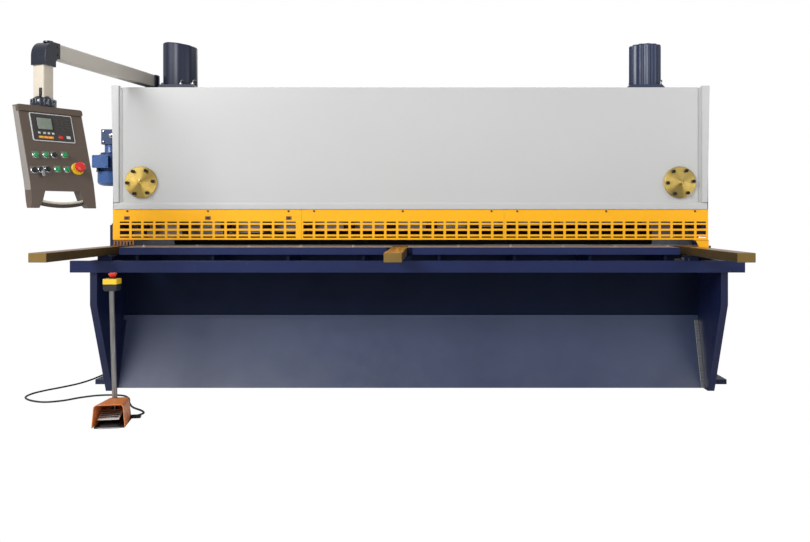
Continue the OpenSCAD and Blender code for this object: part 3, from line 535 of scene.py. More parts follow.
# the points and faces of one piece, made of lofts
class Form:
    def __init__(self):
        self.points, self.faces, self.looks, self.count = [], [], [], 0

    def take(self, points, faces, look=0):
        points = np.asarray(points, float).reshape(-1, 3)
        self.points.append(points)
        self.faces += [[i + self.count for i in face] for face in faces]
        self.looks += [look] * len(faces)
        self.count += len(points)

    # rings with as many points each, joined one to the next and closed at both ends
    def loft(self, rings, look=0):
        self.take(np.vstack(rings), gridFaces(len(rings), len(rings[0]), closed=True, ends=True), look)

    # an outline carried from one level to another along the place's third axis
    def prism(self, outline, low, high, place, look=0):
        self.loft([lift(outline, low, place), lift(outline, high, place)], look)

    # pairs of radius and level, turned about an axis that stands on the place
    def turned(self, profile, place, centre=(0, 0), look=0, sides=32, start=0.0):
        turn = start + np.arange(sides) * 2 * math.pi / sides
        circle = np.column_stack([np.cos(turn), np.sin(turn)])
        self.loft([lift(np.asarray(centre) + circle * r, level, place) for r, level in profile], look)

    def tube(self, line, radius, sides=12, look=0):
        points, faces = tubeMesh(np.asarray(line, float), radius, sides)
        self.take(points, faces, look)

    def piece(self, name, looks, body, ease=0.0, replaces=(), sharp=35, segments=2):
        mesh = bpy.data.meshes.new(name)
        mesh.from_pydata(np.vstack(self.points).tolist(), [], [list(map(int, f)) for f in self.faces])
        for look in looks:
            mesh.materials.append(finishes[look])
        mesh.polygons.foreach_set("material_index", self.looks)
        made = bmesh.new()
        made.from_mesh(mesh)
        bmesh.ops.recalc_face_normals(made, faces=made.faces)
        made.to_mesh(mesh)
        made.free()
        mesh.shade_smooth()
        mesh.set_sharp_from_angle(angle=math.radians(sharp))
        one = bpy.data.objects.new(name, mesh)
        bpy.context.scene.collection.objects.link(one)
        if ease:
            bevel = one.modifiers.new("eased", "BEVEL")
            bevel.width = ease
            bevel.segments = segments
            bevel.limit_method = "ANGLE"
            bevel.angle_limit = math.radians(40)
            bevel.harden_normals = True
        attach(one, body)
        if replaces:
            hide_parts(*replaces)
        return one


# front panel: a field, a lip over the whole width and a raised strip at each end, which narrows downwards
panel = {
    "half": 2100, "strip": 56, "top": 2113, "over": 10, "low": 1254, "lip": 50, "face": 700, "lipFace": 712,
    "stripFace": 715, "taper": 14, "sheet": 12, "flange": 60, "groove": (2022, 2032), "grooveDeep": 6,
}


def makePanel():
    p = panel
    inner = p["half"] - p["strip"]
    lipTop = p["low"] + p["lip"]

    def profile(face):
        return [
            (-face, p["low"] - 39), (-face, p["top"]), (-face + p["flange"], p["top"]),
            (-face + p["flange"], p["top"] - p["sheet"]), (-p["face"] + p["sheet"], p["top"] - p["sheet"]),
            (-p["face"] + p["sheet"], p["low"] - 39),
        ]

    near, far = p["groove"]
    form = Form()
    form.prism(profile(p["face"]), -near, near, section)
    for way in (-1, 1):
        form.prism(profile(p["face"]), way * far, way * inner, section)
        form.prism(profile(p["face"] - p["grooveDeep"]), way * near, way * far, section)
    lip = [
        (-p["lipFace"], p["low"]), (-p["lipFace"], lipTop - 12), (-p["face"], lipTop), (-p["face"] + 10, lipTop),
        (-p["face"] + 10, p["low"]),
    ]
    form.prism(lip, -p["half"] + p["taper"], p["half"] - p["taper"], section)
    for way in (-1, 1):
        rings = []
        for level, outer in ((lipTop - 2, p["half"] - p["taper"]), (p["top"] + p["over"], p["half"])):
            outline = [
                (way * outer, -685), (way * outer, -p["stripFace"]), (way * (inner + 5), -p["stripFace"]),
                (way * inner, -p["face"] - 4), (way * inner, -685),
            ]
            rings.append(lift(outline, level, plan))
        form.loft(rings)
    form.piece("panelShell", ["panel"], "frame", 0.004, ("front_panel", "left_front_post", "right_front_post"))


makePanel()


# bolts and hub of the turned discs
disc = {"bolts": 6, "ring": 90, "head": 12, "low": 18, "high": 44, "socket": 6}


def makeDiscBolts():
    for way, name in ((-1, "left"), (1, "right")):
        centre = discCentre[name]
        place = placeAt((centre[0], -panel["face"] * 0.001, centre[1]), (1, 0, 0), (0, 0, 1))
        bolts, hub = Form(), Form()
        d = disc
        for k in range(d["bolts"]):
            turn = k * 2 * math.pi / d["bolts"] + 0.06
            at = (d["ring"] * math.cos(turn), d["ring"] * math.sin(turn))
            profile = headProfile(d["head"], d["low"], d["high"], 2)[:-1]
            profile += [(d["socket"] + 1, d["high"]), (d["socket"], d["high"] - 1), (d["socket"], d["high"] - 8)]
            bolts.turned(profile, place, at, 0, 20)
        hub.turned([(24, 28), (24, 37), (20, 39), (18, 39), (17, 36)], place)
        hub.turned([(14, 40), (14, 44), (11, 46), (4, 46), (3, 43)], place)
        bolts.piece(name + "DiscBolts", ["black"], "frame")
        hub.piece(name + "DiscHub", [name + "Disc"], "frame")


makeDiscBolts()

# guard: round-head screws along the top edge, small latch plates, a folded end at the right and a comb at the left
guard = {
    "face": 704, "screwHigh": 1241, "rows": ((-1990, 566), (-678, 623.5), (750, 625)), "radius": 7,
    "latch": (-1994, -1424, -856), "latchLow": 1180, "latchSize": (40, 26),
}
guardEnd = {"top": 1040, "front": 744, "sheet": 4, "right": (1991, 2029, 2083), "rightLow": 965,
            "left": (-2072, -1929), "leftLow": 1002, "pitch": 22, "bar": 10}


def makeGuardTrim():
    g, e = guard, guardEnd
    screws, latches, ends = Form(), Form(), Form()
    for first, pitch in g["rows"]:
        for k in range(3):
            at = (first + k * pitch, g["screwHigh"])
            screws.turned(headProfile(g["radius"], g["face"] - 1, g["face"] + 6, 4), elevation, at, 0, 16)
    for x in g["latch"]:
        w, h = g["latchSize"]
        low = g["latchLow"]
        latches.prism(softRect(x - w / 2, low, x + w / 2, low + h, 3), g["face"] - 1, g["face"] + 2.5, elevation)
        latches.prism(softRect(x - 12, low + 6, x + 12, low + h - 6, 2), g["face"], g["face"] + 5, elevation, 1)
    xa, xb, xc = e["right"]
    front, top, t = e["front"], e["top"], e["sheet"]
    ends.prism([(xa, top), (xc, top), (xc, e["rightLow"]), (xb, e["rightLow"])], front - t, front, elevation)
    ends.prism(rect(xa, -front, xc, -700), top - t, top, plan)
    x0, x1 = e["left"]
    ends.prism(rect(x0, top - 10, x1, top), front - t, front, elevation, 1)
    ends.prism(rect(x0, -front, x1, -700), top - t, top, plan, 1)
    count = int((x1 - x0) / e["pitch"])
    for k in range(count + 1):
        x = x0 + k * e["pitch"]
        ends.prism(rect(x, e["leftLow"], x + e["bar"], top - 9), front - t, front, elevation, 1)
    screws.piece("guardScrews", ["black"], "frame")
    latches.piece("guardLatches", ["comb", "black"], "frame", 0.0008)
    ends.piece("guardEndPlates", ["guard", "comb"], "frame", 0.0006, ("guard_ends",))


makeGuardTrim()

# support arms on navy pads, which stand on the rail
arms = {"left": -2045, "middle": -66, "right": 1904, "wide": 103, "low": 946, "high": 1000, "front": 1870, "back": 740}
rail = {"ends": (-2219, 2201), "front": 1094, "back": 1064, "low": 836, "high": 914, "pad": 95,
        "pads": (-1990, -36, 1849), "padBack": 1004}
bar = {"spans": ((-1904, -147), (22, 1782)), "low": 952, "high": 1000, "back": 1050, "front": 1070}


def makeArms():
    a, r = arms, rail
    for name in ("left", "middle", "right"):
        form = Form()
        x = a[name]
        form.prism(rect(x - a["wide"] / 2, a["low"], x + a["wide"] / 2, a["high"]), a["back"], a["front"], elevation)
        # the top face takes the lighter copy as a painted highlight, the sides and underside the darker copy as painted
        # shade, the two ends the plain arm paint
        form.looks = [2, 2, 1, 2, 0, 0]
        form.piece(name + "ArmBar", ["arm", "armTopLit", "armSideShaded"], "frame", 0.004, (name + "_support_arm",), segments=3)
    form = Form()
    for x0, x1 in bar["spans"]:
        form.prism(rect(x0, bar["low"], x1, bar["high"]), bar["back"], bar["front"], elevation)
    form.piece("tableFrontBars", ["deep"], "frame", 0.002, ("table_front_bar",))
    form = Form()
    form.prism(rect(r["ends"][0], -r["front"], r["ends"][1], -r["back"]), r["low"], r["high"], plan)
    # the pads under the arms take the darkened navy as painted shade
    for x in r["pads"]:
        form.prism(rect(x - r["pad"] / 2, -r["front"], x + r["pad"] / 2, -r["padBack"]), r["high"] - 1, a["low"], plan, 1)
    form.piece("tableRail", ["deep", "under"], "frame", 0.003, ("table_rail",))
    knobs = Form()
    for x in (1800, 1832):
        knobs.turned(headProfile(17, r["high"] - 1, r["high"] + 24, 6), plan, (x, -1078), 0, 20)
    knobs.prism(softRect(1740, -1090, 1786, -1066, 5), r["high"] - 1, r["high"] + 14, plan, 0)
    knobs.piece("railKnobs", ["black"], "frame", 0.0008)


makeArms()

# ball units in the table, and three small balls at its right end
balls = {"y": -905, "first": -1800, "pitch": 355, "count": 11, "cup": 22, "ball": 12, "top": 1000,
         "small": (1965, 1986, 2007), "smallY": -680, "smallCup": 9, "smallBall": 7}


def makeBalls():
    b = balls
    form = Form()
    spots = [(b["first"] + k * b["pitch"], b["y"], b["cup"], b["ball"]) for k in range(b["count"])]
    spots = [s for s in spots if abs(s[0] - arms["middle"]) > 90]
    spots += [(x, b["smallY"], b["smallCup"], b["smallBall"]) for x in b["small"]]
    for x, y, cup, ball in spots:
        form.turned([(cup, b["top"] - 1), (cup, b["top"] + 2), (cup - 4, b["top"] + 3), (ball + 1, b["top"] + 3)],
                    plan, (x, y), 0, 24)
        turns = np.radians(np.linspace(0, 84, 6))
        profile = [(ball * math.cos(t), b["top"] - 2 + ball * math.sin(t)) for t in turns]
        form.turned(profile, plan, (x, y), 1, 20)
    form.piece("tableBalls", ["steel", "rod"], "frame")


makeBalls()

# strips along the apron's two ends, where it is welded to the side frames; the right strip's bare zinc is a painted
# highlight, the left strip is navy
apron = {"low": (-762, 12), "high": (-614, 465), "thick": 6, "left": (-2052, -2030), "right": (2024, 2052)}


def makeApronEnds():
    (y0, z0), (y1, z1) = apron["low"], apron["high"]
    outline = [(y0, z0), (y1, z1), (y1 + apron["thick"], z1), (y0 + apron["thick"], z0)]
    form = Form()
    form.prism(outline, *apron["left"], section, 0)
    # bare zinc on the right strip: painted highlight
    form.prism(outline, *apron["right"], section, 1)
    form.piece("apronEndStrips", ["navy", "zinc"], "frame", 0.001)


makeApronEnds()

# main cylinders: fluted barrels on flanges with sloping ends; the left one's top slopes a little
cylinders = {
    "left": {"x": -1711.5, "flange": -1700, "radius": 124, "top": 2482, "slope": 29, "flutes": 9, "deep": 0.03, "look": "barrel",
             "port": -1793, "fittings": (-1669, -1582)},
    # the right cylinder takes the lighter copy of the barrel paint as painted light
    "right": {"x": 1728, "flange": 1700, "radius": 117, "top": 2465, "slope": 0, "flutes": 12, "deep": 0.09, "look": "barrelLit",
              "port": 1793, "fittings": (1806,)},
}
cylinderBase = {"y": -400, "low": 2120, "high": 2160, "half": 156, "slant": 38, "deep": 140, "snout": 100,
                "snoutLow": 1988}


def makeCylinders():
    b = cylinderBase
    for name, c in cylinders.items():
        form = Form()
        turn = np.arange(192) * 2 * math.pi / 192
        wave = 0.5 + 0.5 * np.cos(turn * c["flutes"] + 0.5)
        radius = c["radius"] * (1 - c["deep"] * (1 - wave))
        circle = np.column_stack([np.cos(turn), np.sin(turn)])
        centre = np.array([c["x"], b["y"]])
        low = lift(centre + circle * radius[:, None], b["high"] - 1, plan)
        rings = [low]
        for shrink, drop in ((1.0, 9), (0.985, 3), (0.95, 0)):
            ring = lift(centre + circle * radius[:, None] * shrink, c["top"] - drop, plan)
            ring[:, 2] -= 0.001 * c["slope"] * (0.5 + 0.5 * circle[:, 0])
            rings.append(ring)
        form.loft(rings)
        f = c["flange"]
        trapezoid = [(f - b["half"], b["low"]), (f + b["half"], b["low"]), (f + b["half"] - b["slant"], b["high"]),
                     (f - b["half"] + b["slant"], b["high"])]
        form.prism(trapezoid, -b["y"] - b["deep"], -b["y"] + b["deep"], elevation)
        form.turned([(b["snout"], b["snoutLow"]), (b["snout"], b["low"] + 1)], plan, (f, b["y"]), 0, 48)
        form.prism(rect(c["port"] - 27, b["y"] - 60, c["port"] + 27, b["y"]), b["high"] - 1, b["high"] + 76, plan)
        form.piece(name + "Cylinder", [c["look"]], "frame", 0.002, (name + "_cylinder",), sharp=50)
        trim = Form()
        for dx in (-104, 104):
            for dy in (-112, 112):
                trim.turned(headProfile(16, b["high"] - 1, b["high"] + 15, 3), plan, (f + dx, b["y"] + dy), 0, 6)
        for x in c["fittings"]:
            start = np.array([x * 0.001, -0.532, 2.158])
            path = start + 0.001 * np.array([(0, 0, 0), (0, 0, 14), (1, 1, 26), (6, 4, 33), (12, 10, 32), (14, 16, 24)])
            trim.tube(smoothLine(path, 4), 0.0042, 12, 1)
            trim.turned(headProfile(11, b["high"] - 1, b["high"] + 12, 2), plan, (x, -532), 1, 6)
        trim.piece(name + "CylinderBolts", ["black", "post"], "frame", 0.0006)


makeCylinders()

# boom, elbow and drop tube; the boom's own axes lie across it, along it to the back, and up
boomLine = {"pivot": (-1.920, -0.400), "tube": (-2.162, -1.560), "half": 35, "low": 2157, "high": 2249, "start": 84,
            "boss": 50, "bossLow": 2129}
boomWay = np.array(boomLine["tube"]) - np.array(boomLine["pivot"])
boomLength = 1000 * float(np.linalg.norm(boomWay))
boomWay = boomWay / np.linalg.norm(boomWay)
boomPlace = placeAt((*boomLine["tube"], 0), (-boomWay[1], boomWay[0], 0), (-boomWay[0], -boomWay[1], 0))
dropTube = {"yaw": 18.8, "half": 40, "low": 1915.3, "high": 2112, "soft": 9}


def makeBoom():
    b = boomLine
    form = Form()
    form.prism(rect(-b["half"], b["start"], b["half"], boomLength), b["low"], b["high"], boomPlace)
    form.turned([(b["boss"], b["bossLow"]), (b["boss"], b["high"])], boomPlace, (0, boomLength), 1, 48)
    form.piece("boomBeam", ["boom", "barrel"], "boom", 0.007, ("boom",), segments=3)

    elbow = Form()
    arc = np.radians(np.linspace(90, 180, 10))
    outline = [(88, 2152), (88, 2247)]
    outline += [(45 + 92 * math.cos(t), 2155 + 92 * math.sin(t)) for t in arc]
    outline += [(-47, 2098), (50, 2098), (50, 2132), (62, 2148)]
    side = (boomPlace[0], np.stack([boomPlace[1][1], boomPlace[1][2], boomPlace[1][0]]))
    elbow.prism(outline, -49, 49, side)
    elbow.turned(headProfile(30, 2245, 2255, 4), boomPlace, (4, 40), 0, 40)
    elbow.turned(headProfile(8, 48, 53, 3), side, (66, 2176), 1, 20)
    elbow.turned(headProfile(8, 48, 53, 3), side, (66, 2224), 1, 20)
    elbow.piece("boomElbow", ["elbow", "black"], "boom", 0.012, ("boom_elbow",), segments=4)

    d = dropTube
    yaw = math.radians(d["yaw"])
    place = placeAt((*b["tube"], 0), (math.cos(yaw), -math.sin(yaw), 0), (math.sin(yaw), math.cos(yaw), 0))
    tube = Form()
    tube.prism(softRect(-d["half"], -d["half"], d["half"], d["half"], d["soft"]), d["low"] - 12, d["high"], place)
    tube.piece("dropTube", ["cream"], "boom", 0.0, ("drop_tube",))
    clip = Form()
    clip.prism(softRect(14, -d["half"] - 9, 30, -d["half"] + 2, 3), 1914, 1962, place)
    clip.piece("dropTubeClip", ["black"], "boom", 0.001)


makeBoom()

# pendant: its face leans towards the operator; the face's own axes lie across it, up it and out of it
pendant = {"yaw": 52.6, "lean": 18.4, "top": (-2.108, -1.6055, 1.851), "left": -184, "right": 192}
turnAway, leanBack = math.radians(pendant["yaw"]), math.radians(pendant["lean"])
acrossFace = np.array([math.cos(turnAway), math.sin(turnAway), 0.0])
outFlat = np.array([math.sin(turnAway), -math.cos(turnAway), 0.0])
upFace = math.cos(leanBack) * np.array([0, 0, 1.0]) - math.sin(leanBack) * outFlat
facePlace = placeAt(pendant["top"], acrossFace, upFace)
swivel = np.array([*boomLine["tube"], 0.0])


# a ring across the pendant: from left to right at one level, between a front and a back distance from the swivel
def pendantRing(left, right, frontOut, backOut, level):
    corners = ((left, frontOut), (right, frontOut), (right, backOut), (left, backOut))
    return np.array([swivel + 0.001 * (x * acrossFace + d * outFlat + level * np.array([0, 0, 1.0])) for x, d in corners])


def makePendant():
    left, right = pendant["left"], pendant["right"]
    housing = Form()
    levels = ((71, 6, 1847), (222, 145, 1397), (231, 156, 1350))
    housing.loft([pendantRing(left, right, *level) for level in levels])
    legs = ((left, -103, -196, -147), (102, right, 138, 191))
    for a, b, c, d in legs:
        housing.loft([
            pendantRing(a, b, 231, 156, 1351),
            pendantRing(a - 4 if a < 0 else a + 12, b - 20 if a < 0 else b, 243, 176, 1292),
            pendantRing(c, d, 251, 206, 1251),
        ])
    housing.prism(softRect(left - 3, -44, right + 8, -4, 12), -20, 6, facePlace)
    for d0, d1, low, high in ((-52, 12, 1700, 1852),):
        housing.loft([pendantRing(-60, 60, d1 + 56, d0 + 56, low), pendantRing(-60, 60, d1, d0, high)])
    housing.loft([
        pendantRing(left - 1.5, left + 1, 66, 12, 1840), pendantRing(left - 1.5, left + 1, 217, 150, 1399),
        pendantRing(left - 1.5, left + 1, 226, 161, 1353),
    ], 1)
    housing.piece("pendantShell", ["pendant", "pendantSide"], "pendant", 0.005, ("pendant_housing",), segments=3)

    coupling = Form()
    upright = placeAt((*boomLine["tube"], 0))
    coupling.turned([(70, 1853), (71, 1858), (71, 1876), (66, 1880), (64, 1892), (56, 1904), (46, 1911), (44, 1915),
                     (43, 1915)], upright, (0, 0), 0, 64)
    for k in range(18):
        turn = k * 2 * math.pi / 18
        coupling.turned(headProfile(5, 1856, 1898, 4), upright, (67 * math.cos(turn), 67 * math.sin(turn)), 0, 10)
    coupling.piece("swivelCoupling", ["elbow"], "pendant", 0.001)

    display = Form()
    border = softRect(-126, -225, 125, -50, 9)
    inside = softRect(-121, -220, 120, -55, 6)
    display.prism(border, -2, 4.0, facePlace, 0)
    display.prism(inside, -1, 4.6, facePlace, 1)
    display.prism(softRect(-98, -158, 8, -72, 5), 0, 5.2, facePlace, 2)
    display.prism(softRect(-88, -150, -3, -80, 2), 0, 6.0, facePlace, 3)
    for row in range(5):
        for column in range(3):
            x, z = 30 + column * 30, -82 - row * 16
            display.prism(softRect(x, z - 4, x + 18, z + 4, 1.5), 0, 5.2, facePlace, 4)
    for x in (-92, -61, -36, -11):
        display.prism(softRect(x, -180, x + 14, -168, 2), 0, 5.4, facePlace, 0)
    display.prism(softRect(-92, -208, -4, -193, 2), 0, 5.0, facePlace, 5)
    for k in range(3):
        display.prism(softRect(-86 + k * 28, -205, -68 + k * 28, -197, 1.5), 0, 6.0, facePlace, 6)
    display.prism(softRect(28, -203, 52, -185, 2), 0, 5.4, facePlace, 7)
    display.prism(softRect(74, -201, 98, -183, 2), 0, 5.4, facePlace, 8)
    display.piece("pendantDisplay", ["label", "screen", "black", "glass", "bronze", "orange", "yellow", "red", "label"],
                  "pendant", 0.0008, ("pendant_display",))


makePendant()

# controls on the pendant's face: kind, place across the face and down it
controls = [
    ("dome", -127, 315), ("dome", -68, 312), ("selector", -19, 310), ("greenSelector", 44, 306),
    ("selector", -150, 409), ("key", -109, 404), ("selector", -71, 400), ("greenSelector", -13, 397),
    ("greenSelector", 44, 397),
]
stopButton = {"x": 108, "down": 388, "base": 37, "baseHigh": 10, "stem": 12, "head": 31, "headLow": 26, "headHigh": 50}


def makeControls():
    form = Form()
    for kind, x, down in controls:
        at = (x, -down)
        form.prism(softRect(x - 20, -down - 19, x + 20, -down + 25, 4), -1, 1.2, facePlace, 0)
        form.turned([(19, 0), (19, 5), (17, 7), (15.5, 7)], facePlace, at, 1, 32)
        if kind == "dome":
            form.turned(headProfile(16, 5, 19, 9, 5), facePlace, at, 2, 32)
        else:
            cap = 2 if kind == "greenSelector" else 3
            form.turned(headProfile(16, 5, 12, 2), facePlace, at, cap, 32)
            if kind == "key":
                form.prism(softRect(x - 2, -down - 9, x + 2, -down + 9, 1), 10, 34, facePlace, 1)
                form.prism(softRect(x - 9, -down - 46, x + 7, -down - 6, 5), 22, 25, facePlace, 1)
            else:
                form.prism(softRect(x - 4.5, -down - 13.5, x + 4.5, -down + 13.5, 3), 10, 24, facePlace, cap)
    s = stopButton
    centre = (s["x"], -s["down"])
    bore = s["stem"] + 1.5
    form.turned(headProfile(s["base"], -1, s["baseHigh"], 4) + [(bore, s["baseHigh"]), (bore, s["baseHigh"] - 7)],
                facePlace, centre, 4, 48)
    form.piece("pendantControls", ["plate", "rod", "green", "black", "yellow"], "pendant", 0.0006, ("pendant_controls",))

    stop = Form()
    low, high, r = s["headLow"], s["headHigh"], s["head"]
    stop.turned([(s["stem"], s["baseHigh"] + 0.3), (s["stem"], low + 1)], facePlace, centre, 0, 32)
    stop.turned([(r - 9, low), (r - 2, low + 3), (r, low + 8), (r, low + 11), (r - 3, high - 4), (r - 9, high - 1),
                 (r - 18, high)], facePlace, centre, 0, 48)
    stop.piece("pendantStopHead", ["red"], "pendant_stop", 0.0, ("pendant_stop_button",))


makeControls()

# the pendant's handle: a dark bronze bar that bows down between the two legs, with a flatter cream bar set a little
# higher and further out along it as a painted highlight
handle = {"ends": (-128, 120), "down": 588, "bow": 15, "out": -34, "high": 15, "deep": 12}


def makeHandle():
    h = handle
    form = Form()
    x0, x1 = h["ends"]
    # the second, flatter bar in cream is a painted highlight along the dark bar
    for grow, shift, rise, look in ((1.0, 0, -2, 1), (0.5, 8, 7, 0)):
        rings = []
        for x in np.linspace(x0, x1, 21):
            bow = h["bow"] * (1 - (2 * (x - x0) / (x1 - x0) - 1) ** 2)
            turn = np.arange(20) * 2 * math.pi / 20
            up = -h["down"] - bow + rise + h["high"] * grow * np.sin(turn)
            out = h["out"] + shift + h["deep"] * np.cos(turn)
            rings.append(facePlace[0] + np.column_stack([np.full(20, x), up, out]) @ facePlace[1])
        form.loft(rings, look)
    form.piece("pendantHandleBar", ["cream", "bronze"], "pendant", 0.0, ("pendant_handle",))


makeHandle()

# foot switch: the hood's own axes lie across its mouth, along it to the back, and up
foot = {"front": (-1.678, -1.799), "yaw": 10, "halfFront": 92, "halfRear": 72, "deep": 270, "high": 138, "highRear": 120,
        "lean": 10, "wall": 5, "soft": 20, "lift": 8}
footTurn = math.radians(foot["yaw"])
footPlace = placeAt((*foot["front"], 0), (math.cos(footTurn), math.sin(footTurn), 0),
                    (-math.sin(footTurn), math.cos(footTurn), 0))
footFront = (footPlace[0], np.stack([footPlace[1][0], footPlace[1][2], -footPlace[1][1]]))


# an arch of the hood from its left foot over the top to its right foot
def hoodArch(half, high, soft, low):
    top = half - foot["lean"]
    turns = np.radians(np.linspace(0, 90, 6))
    leftCorner = [(-top + soft - soft * math.cos(t), high - soft + soft * math.sin(t)) for t in turns]
    return [(-half, low)] + leftCorner + [(-x, z) for x, z in leftCorner[::-1]] + [(half, low)]


def makeFootSwitch():
    f = foot
    hood = Form()
    rings = []
    for y in np.linspace(0, f["deep"] - f["wall"], 6):
        share = y / f["deep"]
        half = f["halfFront"] + (f["halfRear"] - f["halfFront"]) * share
        high = f["high"] + (f["highRear"] - f["high"]) * share
        outer = hoodArch(half, high, f["soft"], f["lift"])
        inner = hoodArch(half - f["wall"], high - f["wall"], f["soft"] - f["wall"], f["lift"])
        rings.append(lift(outer + inner[::-1], -y, footFront))
    hood.loft(rings)
    hood.prism(hoodArch(f["halfRear"], f["highRear"], f["soft"], f["lift"]), -f["deep"], -f["deep"] + f["wall"] + 1, footFront)
    hood.piece("footHood", ["hood"], "frame", 0.0015, ("foot_switch_hood",))

    base = Form()
    base.prism(softRect(-84, 18, 84, 262, 8), 0, 9, footPlace)
    base.prism(softRect(-52, 22, 52, 250, 4), 8, 16, footPlace)
    base.prism(softRect(-60, 8, 60, 26, 3), 0, 7, footPlace, 1)
    base.prism(softRect(70, 226, 132, 262, 5), 0, 16, footPlace)
    start = np.array([-1.600, -1.511, 0.012])
    way = np.array([0.02, -1.0, 0.0])
    line = [start + way * k * 0.006 for k in range(6)]
    base.tube(line, [0.0068, 0.0074, 0.008, 0.0088, 0.0096, 0.0104], 16)
    for x in (-56, 50):
        base.prism(rect(x, 142, x + 6, 168), 12, 58, footPlace)
    base.turned([(24, 14), (24, 30), (17, 34)], plan, (-1735, -1560), 0, 32)
    base.piece("footBase", ["black", "zinc"], "frame", 0.0012, ("foot_switch_base",))

    treadle = Form()
    slope = 26 / 120
    for y0, y1, thick in [(36, 158, 6)] + [(54 + k * 24, 62 + k * 24, 9) for k in range(4)]:
        inset = 0 if thick == 6 else 8
        rings = []
        for y in (y0, y1):
            z = 43 + (y - 36) * slope
            outline = rect(-67 + inset, z, 51 - inset, z + thick)
            rings.append(lift(outline, -y, footFront))
        treadle.loft(rings, 0 if thick == 6 else 1)
    treadle.turned([(7, -52), (7, 36)], placeAt((-1.665, -1.640, 0.046), (0, 1, 0), (0, 0, 1)), (0, 0), 1, 20)
    treadle.piece("footTreadle", ["label", "black"], "pedal", 0.001, ("foot_pedal",))


makeFootSwitch()

# stand of the floor stop button: a post with a slight lean, a black box, a yellow box and the red head
stand = {"foot": (-1735, -1560), "head": (-1753.4, -1558), "low": 20, "high": 762, "radius": 15, "box": (83, 76),
         "boxHigh": 801, "cap": (84, 77), "capHigh": 833, "button": (-1752, -1553)}


def makeStand():
    s = stand
    form = Form()
    line = np.array([(*s["foot"], s["low"]), (*s["foot"], 60), (*s["head"], s["high"] - 90), (*s["head"], s["high"] + 4)]) * 0.001
    form.tube(smoothLine(line, 8), s["radius"] * 0.001, 32, 0)
    x, y = s["head"]
    w, d = s["box"]
    rings = [lift(softRect(x - w / 2 + e, y - d / 2 + e, x + w / 2 - e, y + d / 2 - e, 6), z, plan)
             for e, z in ((7, s["high"] - 1), (1, s["high"] + 10), (0, s["boxHigh"]))]
    form.loft(rings, 1)
    w, d = s["cap"]
    form.prism(softRect(x - w / 2, y - d / 2, x + w / 2, y + d / 2, 5), s["boxHigh"] + 0.5, s["capHigh"], plan, 2)
    z = s["capHigh"]
    form.turned([(21, z - 1), (21, z + 4), (19, z + 5), (16.5, z + 5), (16.5, z + 0.4)], plan, s["button"], 1, 32)
    form.piece("stopStand", ["post", "black", "yellow"], "frame", 0.002, ("stop_stand",))
    head = Form()
    head.turned([(11, z + 5.3), (14, z + 8), (22, z + 22), (25, z + 25), (25, z + 29), (22, z + 33), (14, z + 35)], plan,
                s["button"], 0, 40)
    head.piece("standStopHead", ["red"], "stand_stop", 0.0, ("stand_stop_button",))


makeStand()

# blade gap motor, hung under its gear case: flange, finned body, junction box and a fan cover with a round bottom
gapMotor = {"x": -2205, "y": -450, "top": 1656, "body": 80, "bodyLow": 1518, "cover": 95, "coverLow": 1432,
            "fins": 30, "finOut": 90, "box": (-2290, -2180, -582, -520, 1556, 1643)}
gearCase = {"out": -2259, "frame": 2100, "low": 1729, "high": 1839, "depth": (395, 505)}


def makeGearCase():
    c = gearCase
    centre = (gapMotor["x"], gapMotor["y"])
    form = Form()
    form.prism(rect(c["out"], c["low"], -c["frame"], c["high"]), *c["depth"], elevation)
    form.prism(rect(c["out"] - 6, c["low"] + 8, c["out"] + 8, c["high"] - 8), c["depth"][0] + 14, c["depth"][1] - 14, elevation, 1)
    form.turned([(50, gapMotor["top"] + 12), (46, gapMotor["top"] + 20), (46, c["low"] + 2)], plan, centre, 1, 40)
    form.turned([(74, gapMotor["top"] - 1), (74, gapMotor["top"] + 14)], plan, centre, 0, 48)
    ahead = c["depth"][1]
    form.turned(headProfile(20, ahead - 1, ahead + 26, 6), elevation, (-2176, c["low"] + 60), 2, 6)
    form.turned(headProfile(11, ahead + 24, ahead + 44, 4), elevation, (-2176, c["low"] + 60), 2, 20)
    for x, z in ((-2240, 18), (-2240, 92), (-2130, 18), (-2130, 92)):
        form.turned(headProfile(8, ahead - 1, ahead + 8, 2), elevation, (x, c["low"] + z), 2, 6)
    form.piece("gearCase", ["gear", "blue", "rod"], "frame", 0.003, ("gap_gearbox",))


makeGearCase()


